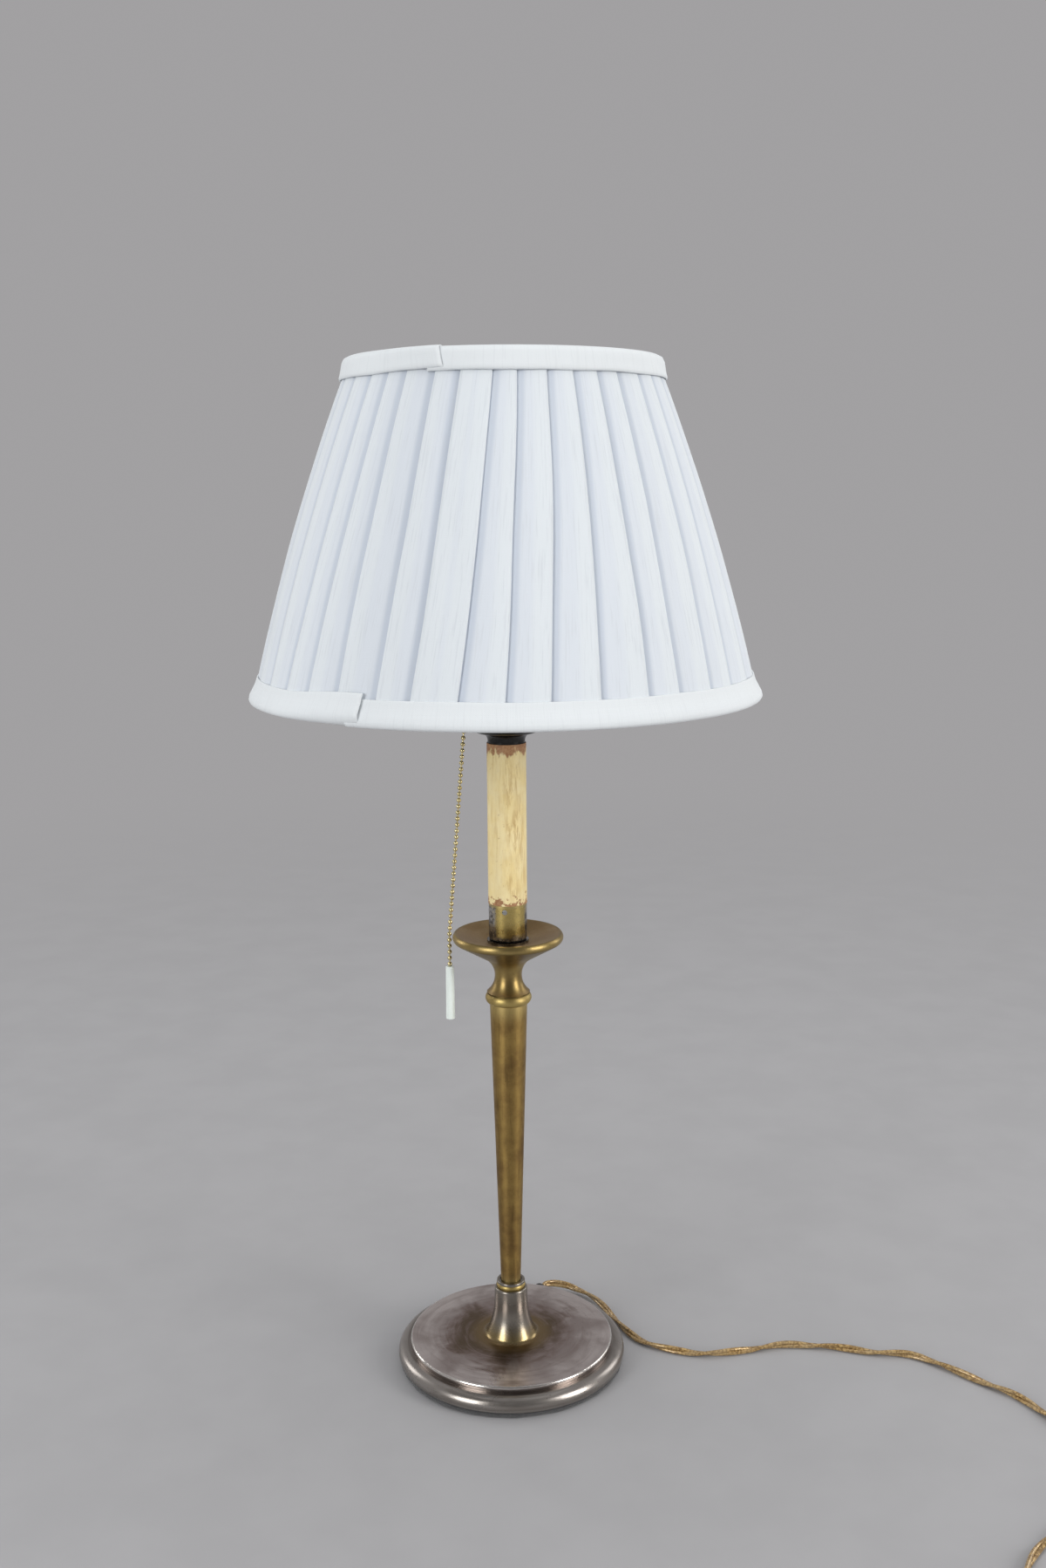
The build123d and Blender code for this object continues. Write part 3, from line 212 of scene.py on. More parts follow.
# flex
flex = {
    "across": 3.6,
    "length": 1.81,
    "strandRadius": 1.0,
    "strandOffset": 0.92,
    "twist": 62.0,  # millimetres for a full turn of the pair
    "startTurn": 0.4,  # radians
    "wander": 0.12,
    "sag": 0.75,  # share of the offset by which the pair settles on the table
    "sides": 10,
    "smooth": 6,  # points of the spline for each point of the route
    "exit": (15.659, 58.439, 6.4),
    "run": [
        (17.082, 63.752, 6.4), (21.6, 66.8, 5.2), (27.6, 67.8, 4.4), (34.4, 66.0, 3.6),
        (42.2, 60.4, 2.6), (49.4, 50.4, 1.8), (54.6, 38.6, 1.8), (58.6, 27.0, 1.8),
        (64.4, 16.4, 1.8), (72.0, 8.2, 1.8), (81.6, 2.2, 1.8), (94.4, -1.4, 1.8),
        (110.6, -2.6, 1.8), (127.6, 2.6, 1.8), (144.0, 6.2, 1.8), (159.6, 5.8, 1.8),
        (176.0, 1.8, 1.8), (193.4, -2.6, 1.8), (209.4, -4.2, 1.8), (219.8, -11.4, 1.8),
        (229.2, -22.0, 1.8), (240.4, -31.6, 1.8), (252.4, -43.4, 1.8), (262.0, -58.8, 1.8),
        (269.2, -76.2, 1.8), (272.4, -94.6, 1.8), (270.2, -113.2, 1.8), (261.2, -129.4, 1.8),
        (248.2, -141.0, 1.8), (234.8, -149.8, 1.8), (224.8, -159.4, 1.8), (217.0, -171.4, 1.8),
        (210.2, -181.2, 1.8), (203.2, -190.4, 1.8), (196.4, -200.4, 1.8),
    ],
    "coil": {"inner": 11.3, "pitch": 4.1, "halfTurns": 9, "lead": 3.6, "perHalfTurn": 8},
    "tail": [  # run in millimetres, turn in degrees from the coil's heading, and rise
        (9.0, 0.0, 0.0), (14.0, -7.0, -1.8), (15.0, -16.0, -0.6), (14.0, -23.0, 1.6),
    ],
    "plugTurn": -5.0,
    "plugHigh": 6.85,
    "plugLead": 8.0,
    "copper": (0.21, 0.117, 0.037),
    "gold": (0.64, 0.435, 0.18),
    "dust": (0.53, 0.42, 0.255),
}


def flexRoute(spec):
    route = [Vector(spec["exit"])] + [Vector(p) for p in spec["run"]]
    coil = spec["coil"]
    heading = (route[-1] - route[-2]).normalized()
    side = Vector((-heading.y, heading.x, 0))
    here = route[-1] + heading * coil["lead"]
    route.append(here.copy())
    inward = [coil["inner"] + k * coil["pitch"] / 2 for k in range(coil["halfTurns"], 0, -1)]
    level, outward = [(r, 0.0) for r in inward], [(r, 0.0) for r in reversed(inward)]
    for radius, climb in level + [(coil["inner"], coil["pitch"])] + outward:
        middle = here + side * radius
        for k in range(1, coil["perHalfTurn"] + 1):
            share = k / coil["perHalfTurn"]
            swing = math.pi * share
            spot = middle - side * radius * math.cos(swing) + heading * radius * math.sin(swing)
            route.append(spot + Vector((0, 0, climb * share)))
        here = route[-1].copy()
        heading, side = -heading, -side
    route.append(here + heading * coil["lead"])
    course = math.degrees(math.atan2(heading.y, heading.x))
    for run, turn, rise in spec["tail"]:
        angle = math.radians(course + turn)
        route.append(route[-1] + Vector((run * math.cos(angle), run * math.sin(angle), rise)))
    route[-1].z = spec["plugHigh"]
    angle = math.radians(course + spec["tail"][-1][1] + spec["plugTurn"])
    route.append(route[-1] + Vector((math.cos(angle), math.sin(angle), 0)) * spec["plugLead"])
    return route


def splinePoints(route, smooth):  # points of a smooth spline along the route, in metres
    curve = bpy.data.curves.new("flexLine", "CURVE")
    curve.dimensions = "3D"
    curve.resolution_u = smooth
    line = curve.splines.new("NURBS")
    line.points.add(len(route) - 1)
    for point, spot in zip(line.points, route):
        point.co = (*(spot * mm), 1)
    line.order_u = 3
    line.use_endpoint_u = True
    holder = bpy.data.objects.new("flexLine", curve)
    bpy.context.scene.collection.objects.link(holder)
    bpy.context.view_layer.update()
    traced = bpy.data.meshes.new_from_object(holder)
    points = [v.co.copy() for v in traced.vertices]
    bpy.data.objects.remove(holder)
    bpy.data.meshes.remove(traced)
    return points


def goldFlex(spec):
    settings = {"Roughness": 0.24, "Metallic": 0.35, "Coat Weight": 0.6, "Coat Roughness": 0.12}
    paint, tree, shader = startMaterial("goldFlex", settings)
    where = place(tree)
    streak = spread(tree, grain(tree, where, 0.9, 3), 0.35, 0.7)
    cloud = spread(tree, grain(tree, where, 0.12, 2), 0.35, 0.65)
    colour = blendColour(tree, streak, spec["copper"], spec["gold"])
    fill(tree, shader, {"Base Color": wash(tree, colour, spec["dust"], cloud, 0.3)})
    relief(tree, shader, grain(tree, where, 2.2, 2), 0.15, 0.1)
    return paint


# strap that holds the coil together
tie = {
    "centre": (220.1, -222.1),
    "azimuth": -110.0,
    "inner": 8.9,
    "outer": 31.5,
    "low": 0.3,
    "high": 8.2,
    "lowest": 0.02,
    "wide": 5.0,
    "thick": 0.7,
    "steps": 120,
    "turns": 1.18,
    "startTurn": 0.9,  # radians round the loop
    "lapFrom": 0.9,  # turns after which the end climbs onto the start
    "lapOver": 0.1,
    "corner": 0.34,  # power that squares the loop
    "slack": 0.25,
    "skew": 0.5,
    "black": (0.022, 0.022, 0.024),
    "grey": (0.07, 0.069, 0.068),
}


def wovenStrap(spec):
    paint, tree, shader = startMaterial("wovenStrap", {"Roughness": 0.8, "Sheen Weight": 0.2})
    threads = grain(tree, place(tree), 2.4, 3, 0.6)
    colour = blendColour(tree, spread(tree, threads, 0.35, 0.65), spec["black"], spec["grey"])
    fill(tree, shader, {"Base Color": colour})
    relief(tree, shader, threads, 0.6, 0.4)
    return paint


def makeTie(spec, paint):
    angle = math.radians(spec["azimuth"])
    outward = Vector((math.cos(angle), math.sin(angle), 0))
    along = Vector((-math.sin(angle), math.cos(angle), 0))
    centre = Vector((*spec["centre"], 0))
    middle, half = (spec["inner"] + spec["outer"]) / 2, (spec["outer"] - spec["inner"]) / 2
    level, rise = (spec["low"] + spec["high"]) / 2, (spec["high"] - spec["low"]) / 2
    steps, turns = spec["steps"], spec["turns"]
    points, faces = [], []
    for k in range(steps + 1):
        swing = fullTurn * turns * k / steps + spec["startTurn"]
        climb = (k / steps * turns - spec["lapFrom"]) / spec["lapOver"]
        lapped = spec["thick"] * max(0.0, min(1.0, climb))
        out, up = (math.copysign(abs(v) ** spec["corner"], v) for v in (math.cos(swing), math.sin(swing)))
        slack = spec["slack"] * noise.noise(Vector((k * 0.11, 3.0, 0)))
        skew = spec["skew"] * noise.noise(Vector((k * 0.05, 7.0, 0)))
        for inset in (0.0, -spec["thick"]):
            spot = centre + outward * (middle + (half + inset + lapped + slack) * out)
            spot.z = max(spec["lowest"], level + (rise + inset + lapped + slack * (up > 0)) * up)
            points += [(spot + along * (skew + side * spec["wide"] / 2)) * mm for side in (-1, 1)]
    for a in range(0, 4 * steps, 4):
        for i, j in ((0, 1), (1, 3), (3, 2), (2, 0)):
            faces.append((a + i, a + j, a + 4 + j, a + 4 + i))
    faces += [(0, 2, 3, 1), (4 * steps, 4 * steps + 1, 4 * steps + 3, 4 * steps + 2)]
    return addMesh("coilStrap", points, faces, paint)


def makeFlex(spec, paint, strap):
    path = splinePoints(flexRoute(spec), spec["smooth"])
    rings, travelled = [], 0.0
    for k, spot in enumerate(path):
        if k:
            travelled += (spot - path[k - 1]).length
        ahead = (path[min(k + 1, len(path) - 1)] - path[max(k - 1, 0)]).normalized()
        side = ahead.cross(Vector((0, 0, 1))).normalized()
        rings.append((spot, side, side.cross(ahead).normalized(), travelled))
    sides, points, faces = spec["sides"], [], []
    for strand in (0, 1):
        first = len(points)
        for spot, side, up, far in rings:
            swing = fullTurn * far / (spec["twist"] * mm) + math.pi * strand + spec["startTurn"]
            wander = spec["wander"] * noise.noise(Vector((far * 40, strand * 7.0, 0)))
            reach = (spec["strandOffset"] + wander) * mm
            settle = (1 - abs(math.sin(swing))) * spec["strandOffset"] * spec["sag"] * mm
            axis = spot + side * reach * math.cos(swing) + up * (reach * math.sin(swing) - settle)
            for j in range(sides):
                angle = fullTurn * j / sides
                around = side * math.cos(angle) + up * math.sin(angle)
                points.append(axis + around * spec["strandRadius"] * mm)
        faces += ringFaces(first, len(rings), sides) + endFaces(first, len(rings), sides)
    piece = addMesh("twistedFlex", points, faces, paint)
    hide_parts("flex_cord", "flex_coil", "flex_tail")
    return travelled


flexPaint = goldFlex(flex)
flexLong = makeFlex(flex, flexPaint, makeTie(tie, wovenStrap(tie)))
finishWith(["inner_flex"], flexPaint)
print("flex made,", round(flexLong, 3), "m along its line")

# plated base; pairs are where a change begins and ends, in millimetres from the axis or up from the table
silver = {
    "bright": (0.71, 0.64, 0.61),
    "grey": (0.405, 0.34, 0.318),
    "rosy": (0.295, 0.225, 0.20),
    "brown": (0.145, 0.10, 0.062),
    # painted dark reflection: the pedestal's silver is darker than the plate's
    "stem": (0.30, 0.273, 0.235),
    "rim": (0.42, 0.387, 0.357),
    # colour of the painted highlight along the plate's edge
    "edge": (0.80, 0.765, 0.72),
    "dullRim": (0.288, 0.26, 0.234),
    "brass": (0.34, 0.25, 0.10),
    "footReflection": (0.27, 0.185, 0.082),
    # colour of the painted shade in the groove below the plate's edge
    "darkening": (0.19, 0.166, 0.146),
    "pit": (0.10, 0.085, 0.075),
    "ringOut": (47.0, 17.0),  # tarnish ring round the pedestal
    "ringStray": 13,
    "palerOut": (24, 50),  # the plate is paler outside
    "footOut": (24, 15.5),  # painted reflection of the brass foot on the plate round it
    "stemHigh": (13.6, 15.0),
    "rubbedHigh": (23, 14.5),
    "rubbedStray": 2.5,
    "rimOut": (52.4, 53.0),  # the rim is rubbed cleaner than the plate
    "edgeOut": (51.5, 51.9),  # painted highlight along the plate's rounded edge
    "edgeHigh": (12.2, 12.7),
    "cornerFrom": (52.0, 52.4),  # painted shade in the groove below that edge
    "cornerTo": (55.0, 53.6),
    "cornerHigh": (12.6, 11.8),
    "topHigh": (14.2, 13.6),  # duller flat top
    "topOut": (52.3, 51.3),
}


def swirl(tree, where, out):  # streaks that run round the lamp's axis
    x, y, z = parts(tree, where)
    far = sums(tree, "MAXIMUM", out, 0.5)
    ringed = tree.nodes.new("ShaderNodeCombineXYZ")
    fill(tree, ringed, {
        0: times(tree, sums(tree, "DIVIDE", x, far), 1.1),
        1: times(tree, sums(tree, "DIVIDE", y, far), 1.1),
        2: plus(tree, times(tree, out, 0.22), times(tree, z, 0.3)),
    })
    return grain(tree, ringed.outputs[0], 1.5, 3, 0.6, 0.5)


def stray(tree, value, pattern, low, high, size):  # a place moved to and fro by a pattern
    return plus(tree, value, spread(tree, pattern, low, high, -size, size, "LINEAR"))


def wornSilver(spec):
    paint, tree, shader = startMaterial("wornSilver", {"Metallic": 1.0})
    where = place(tree)
    high, out = parts(tree, where)[2], axisDistance(tree, where)
    cloud = grain(tree, where, 0.045, 4, 0.6, 0.6)
    arcs = swirl(tree, where, out)
    ring = spread(tree, stray(tree, out, cloud, 0.25, 0.75, spec["ringStray"]), *spec["ringOut"])
    stain = sums(tree, "MULTIPLY", ring, spread(tree, arcs, 0.28, 0.62, 0.6, 1.0), clamp=True)
    paler = spread(tree, out, *spec["palerOut"], 0.1, -0.1)
    clouded = plus(tree, grain(tree, where, 0.05, 3, 0.5, 0.4), paler)
    colour = blendColour(tree, spread(tree, clouded, 0.28, 0.68), spec["bright"], spec["grey"])
    colour = wash(tree, colour, spec["rosy"], spread(tree, arcs, 0.45, 0.75), 0.4)
    colour = blendColour(tree, spread(tree, stain, 0.0, 0.6), colour, spec["rosy"])
    colour = blendColour(tree, spread(tree, stain, 0.3, 1.0), colour, spec["brown"])
    # painted reflection of the brass foot on the plate round it
    colour = wash(tree, colour, spec["footReflection"], spread(tree, out, *spec["footOut"]), 0.75)
    # painted dark reflection: the pedestal takes a darker silver than the plate
    stem = spread(tree, high, *spec["stemHigh"])
    rubbed = spread(tree, stray(tree, high, cloud, 0.3, 0.7, spec["rubbedStray"]), *spec["rubbedHigh"])
    colour = blendColour(tree, stem, colour, wash(tree, spec["stem"], spec["brass"], rubbed, 0.8))
    rim = spread(tree, out, *spec["rimOut"])
    rimColour = blendColour(tree, spread(tree, arcs, 0.35, 0.7), spec["rim"], spec["dullRim"])
    colour = blendColour(tree, rim, colour, rimColour)
    # painted highlight along the plate's edge
    edge = times(tree, spread(tree, out, *spec["edgeOut"]), spread(tree, high, *spec["edgeHigh"]))
    colour = wash(tree, colour, spec["edge"], edge, 0.8)
    # painted shade in the groove below the plate's edge
    corner = times(tree, spread(tree, out, *spec["cornerFrom"]), spread(tree, out, *spec["cornerTo"]))
    corner = times(tree, corner, spread(tree, high, *spec["cornerHigh"]))
    colour = wash(tree, colour, spec["darkening"], corner, 0.5)
    pits = spread(tree, grain(tree, where, 1.1, 2, 0.5), 0.67, 0.74)
    colour = wash(tree, colour, spec["pit"], pits, 0.45)
    flatTop = times(tree, spread(tree, high, *spec["topHigh"]), spread(tree, out, *spec["topOut"]))
    rough = plus(tree, spread(tree, cloud, 0.3, 0.75, 0.17, 0.25), times(tree, flatTop, 0.1))
    rough = plus(tree, rough, times(tree, sums(tree, "MAXIMUM", rim, stem), 0.08))
    fill(tree, shader, {"Base Color": colour, "Roughness": rough})
    height = plus(tree, times(tree, grain(tree, where, 0.35, 4, 0.55), 0.8), times(tree, arcs, 0.5))
    relief(tree, shader, height, 0.05, 0.25)
    return paint


# brass of the column, the rings and the pan
brass = {
    "worn": (0.385, 0.256, 0.084),
    "dull": (0.215, 0.132, 0.048),
    "dark": (0.06, 0.036, 0.015),
    "rubbed": (0.62, 0.485, 0.20),
    "olive": (0.405, 0.295, 0.112),
    "oliveDull": (0.275, 0.19, 0.072),
    "ring": (0.56, 0.43, 0.16),
    "columnFoot": (46, 42),  # heights between which it darkens
    "ringTop": (198.4, 199.4),
}


def agedBrass(name, spec, light, dull, hollow, darkening):
    settings = {"Metallic": 1.0, "Anisotropic": 0.4, "Anisotropic Rotation": 0.25}
    paint, tree, shader = startMaterial(name, settings)
    where = place(tree)
    streaks = grain(tree, place(tree, (1, 1, 0.08)), 0.5, 4, 0.6)
    cloud = grain(tree, where, 0.075, 4, 0.6)
    colour = blendColour(tree, spread(tree, cloud, 0.3, 0.7), spec[light], spec[dull])
    colour = wash(tree, colour, spec["dark"], spread(tree, streaks, 0.5, 0.72), darkening)
    colour = wash(tree, colour, spec["dark"], spread(tree, parts(tree, where)[2], *spec[hollow]), 0.8)
    edge = tree.nodes.new("ShaderNodeNewGeometry").outputs["Pointiness"]
    colour = wash(tree, colour, spec["rubbed"], spread(tree, edge, 0.52, 0.60), 0.6)
    specks = spread(tree, grain(tree, where, 1.4, 2), 0.68, 0.75)
    colour = wash(tree, colour, spec["dark"], specks, 0.5)
    rough = plus(tree, spread(tree, cloud, 0.25, 0.75, 0.44, 0.54), times(tree, specks, 0.2))
    fill(tree, shader, {"Base Color": colour, "Roughness": rough})
    relief(tree, shader, plus(tree, grain(tree, where, 0.7, 4), streaks), 0.10, 0.2)
    return paint


finishWith(["base_shell", "collar_cap"], wornSilver(silver))
finishWith(["column"], agedBrass("columnBrass", brass, "worn", "dull", "columnFoot", 0.34))
finishWith(["knop_ring", "collar_ring"], agedBrass("ringBrass", brass, "ring", "olive", "ringTop", 0.12))
print("metals made")

# drip pan
pan = {
    "dish": (0.38, 0.245, 0.105),
    "paleDish": (0.46, 0.33, 0.18),
    "dishUp": (0.55, 0.9),  # the dish faces up, inside the lip
    "dishOut": (26.6, 25.0),
    "lipOut": (26.4, 27.3),
    # painted shade on the pan's underside, which faces down
    "underHigh": (214, 222),
    "underDown": (-0.2, -0.6),
}


def panBrass(spec, metal):
    settings = {"Metallic": 1.0, "Anisotropic": 0.5, "Anisotropic Rotation": 0.25}
    paint, tree, shader = startMaterial("panBrass", settings)
    where = place(tree)
    high, out = parts(tree, where)[2], axisDistance(tree, where)
    up = parts(tree, tree.nodes.new("ShaderNodeNewGeometry").outputs["Normal"])[2]
    cloud = grain(tree, where, 0.09, 4, 0.6)
    colour = blendColour(tree, spread(tree, cloud, 0.3, 0.7), metal["olive"], metal["oliveDull"])
    dish = times(tree, spread(tree, up, *spec["dishUp"]), spread(tree, out, *spec["dishOut"]))
    dishColour = blendColour(tree, spread(tree, cloud, 0.35, 0.7), spec["dish"], spec["paleDish"])
    colour = blendColour(tree, dish, colour, dishColour)
    # painted shade on the pan's underside, which faces down
    under = times(tree, spread(tree, high, *spec["underHigh"]), spread(tree, up, *spec["underDown"]))
    colour = wash(tree, colour, metal["dark"], under, 0.5)
    colour = wash(tree, colour, metal["rubbed"], spread(tree, out, *spec["lipOut"]), 0.2)
    specks = spread(tree, grain(tree, where, 1.2, 2), 0.66, 0.74)
    colour = wash(tree, colour, metal["dark"], specks, 0.5)
    rough = plus(tree, spread(tree, cloud, 0.25, 0.75, 0.33, 0.43), times(tree, dish, 0.08))
    fill(tree, shader, {"Base Color": colour, "Roughness": rough})
    relief(tree, shader, grain(tree, where, 0.7, 4), 0.10, 0.2)
    return paint


# candle cup
cup = {
    "plate": (0.52, 0.49, 0.45),
    "tarnish": (0.11, 0.10, 0.095),
    "worn": (0.56, 0.43, 0.155),
    # colour of the painted shade at the cup's foot, where it stands in the dish
    "footShade": (0.06, 0.052, 0.046),
    "ragged": 1.5,
    "wornAt": 1.3,  # patch worn through in front, in millimetres to the right of the axis
    "wornHalf": (8.0, 6.4),
    "wornFront": (1, -1),
    "wornHigh": (228.5, 231.5),
    "lipHigh": (243.9, 245.0),
    "footHigh": (229.0, 227.0),
}


def cupPlate(spec, metal):
    paint, tree, shader = startMaterial("cupPlate", {"Metallic": 1.0})
    where = place(tree)
    x, y, high = parts(tree, where)
    cloud = grain(tree, where, 0.25, 5, 0.68)
    ragged = spread(tree, cloud, 0.2, 0.8, -spec["ragged"], spec["ragged"], "LINEAR")
    across = plus(tree, sums(tree, "ABSOLUTE", sums(tree, "SUBTRACT", x, spec["wornAt"])), ragged)
    worn = times(tree, spread(tree, across, *spec["wornHalf"]), spread(tree, y, *spec["wornFront"]))
    worn = times(tree, worn, spread(tree, plus(tree, high, ragged), *spec["wornHigh"]))
    colour = blendColour(tree, spread(tree, cloud, 0.40, 0.60), spec["plate"], spec["tarnish"])
    colour = blendColour(tree, worn, colour, spec["worn"])
    colour = wash(tree, colour, metal["rubbed"], spread(tree, high, *spec["lipHigh"]), 0.7)
    # painted shade at the cup's foot, where it stands in the dish
    foot = spread(tree, sums(tree, "SUBTRACT", high, ragged), *spec["footHigh"])
    colour = wash(tree, colour, spec["footShade"], foot, 0.7)
    fill(tree, shader, {"Base Color": colour, "Roughness": spread(tree, cloud, 0.2, 0.8, 0.17, 0.38)})
    relief(tree, shader, grain(tree, where, 0.9, 4), 0.10, 0.25)
    return paint


# chain, contacts and fasteners
brightMetals = {
    "beadBrass": {
        "light": (0.76, 0.66, 0.38),
        "dull": (0.62, 0.525, 0.27),
        "rough": 0.22,
        "nodes": [
            "chain_top", "pull_chain", "chain_spout", "switch_lever",
            "terminal_screws", "centre_contact", "plug_pins",
        ],
    },
    "zincSteel": {
        "light": (0.52, 0.515, 0.50),
        "dull": (0.33, 0.32, 0.31),
        "rough": 0.28,
        "nodes": ["tie_rod", "rod_nut", "rod_washer", "cup_screw", "lever_pin", "return_spring", "bulb_tip"],
    },
}


def brightMetal(name, spec):
    paint, tree, shader = startMaterial(name, {"Metallic": 1.0})
    where = place(tree)
    cloud = grain(tree, where, 0.35, 4, 0.6)
    rough = (spec["rough"], spec["rough"] + 0.16)
    cloudyFinish(tree, shader, cloud, (0.35, 0.7), (spec["light"], spec["dull"]), rough)
    relief(tree, shader, grain(tree, where, 2.0, 3), 0.08, 0.1)
    return paint


finishWith(["drip_pan"], panBrass(pan, brass))
finishWith(["candle_cup"], cupPlate(cup, brass))
for metalName, metalSpec in brightMetals.items():
    finishWith(metalSpec["nodes"], brightMetal(metalName, metalSpec))
print("pan, cup and chain finished")

# candle tube
candle = {
    "cream": (0.87, 0.695, 0.325),
    "pale": (0.90, 0.755, 0.415),
    "ochre": (0.58, 0.375, 0.135),
    "rubbed": (0.52, 0.325, 0.115),
    "scuffed": (0.40, 0.22, 0.09),
    "card": (0.35, 0.165, 0.073),
    "paleCard": (0.48, 0.27, 0.13),
    "handledAt": 2.6,  # side that hands have rubbed, in millimetres to the right of the axis
    "handledHalf": (5.6, 1.2),
    "handledFront": (1, -2),
    "bareHigh": (321.2, 323.0),  # bare card above
    "bareStray": 5.6,
    "chipHigh": (248.6, 247.4),  # chips at the foot
    "chipStray": (-6.5, 7.5),
}


def candlePaint(spec):
    paint, tree, shader = startMaterial("candlePaint", {})
    where = place(tree)
    x, y, high = parts(tree, where)
    runs = grain(tree, place(tree, (1, 1, 0.10)), 0.30, 4, 0.62, 0.4)
    cloud = grain(tree, where, 0.075, 4, 0.6)
    colour = blendColour(tree, spread(tree, cloud, 0.35, 0.65), spec["cream"], spec["pale"])
    colour = wash(tree, colour, spec["ochre"], spread(tree, runs, 0.50, 0.74), 0.75)
    across = sums(tree, "ABSOLUTE", sums(tree, "SUBTRACT", x, spec["handledAt"]))
    handled = times(tree, spread(tree, across, *spec["handledHalf"]), spread(tree, y, *spec["handledFront"]))
    patches = grain(tree, place(tree, (1, 1, 0.5)), 0.06, 3)
    handled = times(tree, handled, spread(tree, patches, 0.35, 0.6))
    lines = grain(tree, place(tree, (1, 1, 0.16)), 0.7, 5, 0.68, 0.5)
    thinned = times(tree, spread(tree, lines, 0.42, 0.62), plus(tree, times(tree, handled, 0.8), 0.12))
    colour = blendColour(tree, thinned, colour, spec["rubbed"])
    scuffs = spread(tree, grain(tree, where, 0.42, 5, 0.66, 0.5), 0.62, 0.70)
    colour = wash(tree, colour, spec["scuffed"], scuffs, 0.45)
    torn = grain(tree, place(tree, (1, 1, 0.4)), 0.24, 5, 0.62)
    bare = spread(tree, stray(tree, high, torn, 0.2, 0.8, spec["bareStray"]), *spec["bareHigh"])
    flaked = spread(tree, grain(tree, where, 0.30, 4, 0.6), 0.25, 0.75, *spec["chipStray"], "LINEAR")
    bare = sums(tree, "MAXIMUM", bare, spread(tree, plus(tree, high, flaked), *spec["chipHigh"]))
    card = spread(tree, grain(tree, where, 0.8, 3), 0.35, 0.7)
    colour = blendColour(tree, bare, colour, blendColour(tree, card, spec["card"], spec["paleCard"]))
    rough = plus(tree, spread(tree, runs, 0.3, 0.7, 0.42, 0.6), times(tree, bare, 0.2))
    fill(tree, shader, {"Base Color": colour, "Roughness": rough})
    height = plus(tree, runs, times(tree, cloud, 0.4))
    relief(tree, shader, sums(tree, "SUBTRACT", height, times(tree, bare, 0.8)), 0.35, 0.5)
    return paint


# moulded and cast pieces
plainMoulding = {"fine": 1.2, "lift": 1.5, "coat": 0.3, "shine": 0.5}
mouldings = {
    "blackMoulding": {
        "colour": (0.006, 0.0053, 0.0048), "rough": 0.08, "lift": 1.3, "coat": 0.0, "shine": 0.3,
        "nodes": ["holder_cap", "holder_skirt", "shade_ring", "plug_body"],
    },
    "grommetRubber": {"colour": (0.02, 0.02, 0.021), "rough": 0.5, "nodes": ["cord_grommet"]},
    "whitePull": {
        "colour": (0.82, 0.885, 0.835), "rough": 0.3, "fine": 0.4, "lift": 1.04,
        "nodes": ["pull_handle"],
    },
    "porcelain": {"colour": (0.78, 0.76, 0.71), "rough": 0.35, "lift": 1.08, "nodes": ["holder_insert"]},
    "castIron": {"colour": (0.06, 0.057, 0.055), "rough": 0.6, "fine": 0.5, "nodes": ["base_weight"]},
}


def moulding(name, spec):
    settings = {"Coat Weight": spec["coat"], "Coat Roughness": 0.1, "Specular IOR Level": spec["shine"]}
    paint, tree, shader = startMaterial(name, settings)
    where = place(tree)
    cloud = grain(tree, where, 0.2, 4, 0.6)
    lighter = tuple(min(1, c * spec["lift"] + 0.006) for c in spec["colour"])
    rough = (spec["rough"], spec["rough"] + 0.18)
    cloudyFinish(tree, shader, cloud, (0.35, 0.75), (spec["colour"], lighter), rough)
    relief(tree, shader, grain(tree, where, spec["fine"], 3), 0.06, 0.15)
    return paint


finishWith(["candle_tube"], candlePaint(candle))
for mouldName, mouldSpec in mouldings.items():
    finishWith(mouldSpec["nodes"], moulding(mouldName, {**plainMoulding, **mouldSpec}))
print("candle and mouldings finished")

# bulb
bulb = {
    "glass": (0.90, 0.90, 0.885),
    "dullGlass": (0.84, 0.845, 0.84),
    "brass": (0.66, 0.55, 0.33),
    "dullBrass": (0.46, 0.36, 0.19),
    "threadPitch": 3.6,
}


def pearlGlass(spec):
    settings = {"Roughness": 0.3, "Transmission Weight": 0.2, "IOR": 1.45}
    paint, tree, shader = startMaterial("pearlGlass", settings)
    where = place(tree)
    cloud = spread(tree, grain(tree, where, 0.1, 3), 0.3, 0.7)
    fill(tree, shader, {"Base Color": blendColour(tree, cloud, spec["glass"], spec["dullGlass"])})
    relief(tree, shader, grain(tree, where, 1.5, 2), 0.03, 0.1)
    return paint


def threadedBrass(spec):
    paint, tree, shader = startMaterial("threadedBrass", {"Metallic": 1.0})
    where = place(tree)
    cloud = grain(tree, where, 0.3, 3)
    cloudyFinish(tree, shader, cloud, (0.3, 0.7), (spec["brass"], spec["dullBrass"]), (0.24, 0.4))
    wave = sums(tree, "SINE", times(tree, parts(tree, where)[2], fullTurn / spec["threadPitch"]))
    relief(tree, shader, wave, 0.8, 0.6)
    return paint


finishWith(["bulb_glass"], pearlGlass(bulb))
finishWith(["bulb_base", "screw_shell"], threadedBrass(bulb))

# wire frame of the shade
wire = {"pale": (0.76, 0.755, 0.73), "dull": (0.64, 0.62, 0.57)}


def coatedWire(spec):
    paint, tree, shader = startMaterial("coatedWire", {})
    where = place(tree)
    cloud = grain(tree, where, 0.12, 4)
    cloudyFinish(tree, shader, cloud, (0.35, 0.7), (spec["pale"], spec["dull"]), (0.35, 0.55))
    relief(tree, shader, grain(tree, where, 1.0, 3), 0.1, 0.2)
    return paint


finishWith(["shade_lower_ring", "shade_upper_ring", "shade_ribs", "shade_fitter"], coatedWire(wire))
print("bulb and wire frame finished")

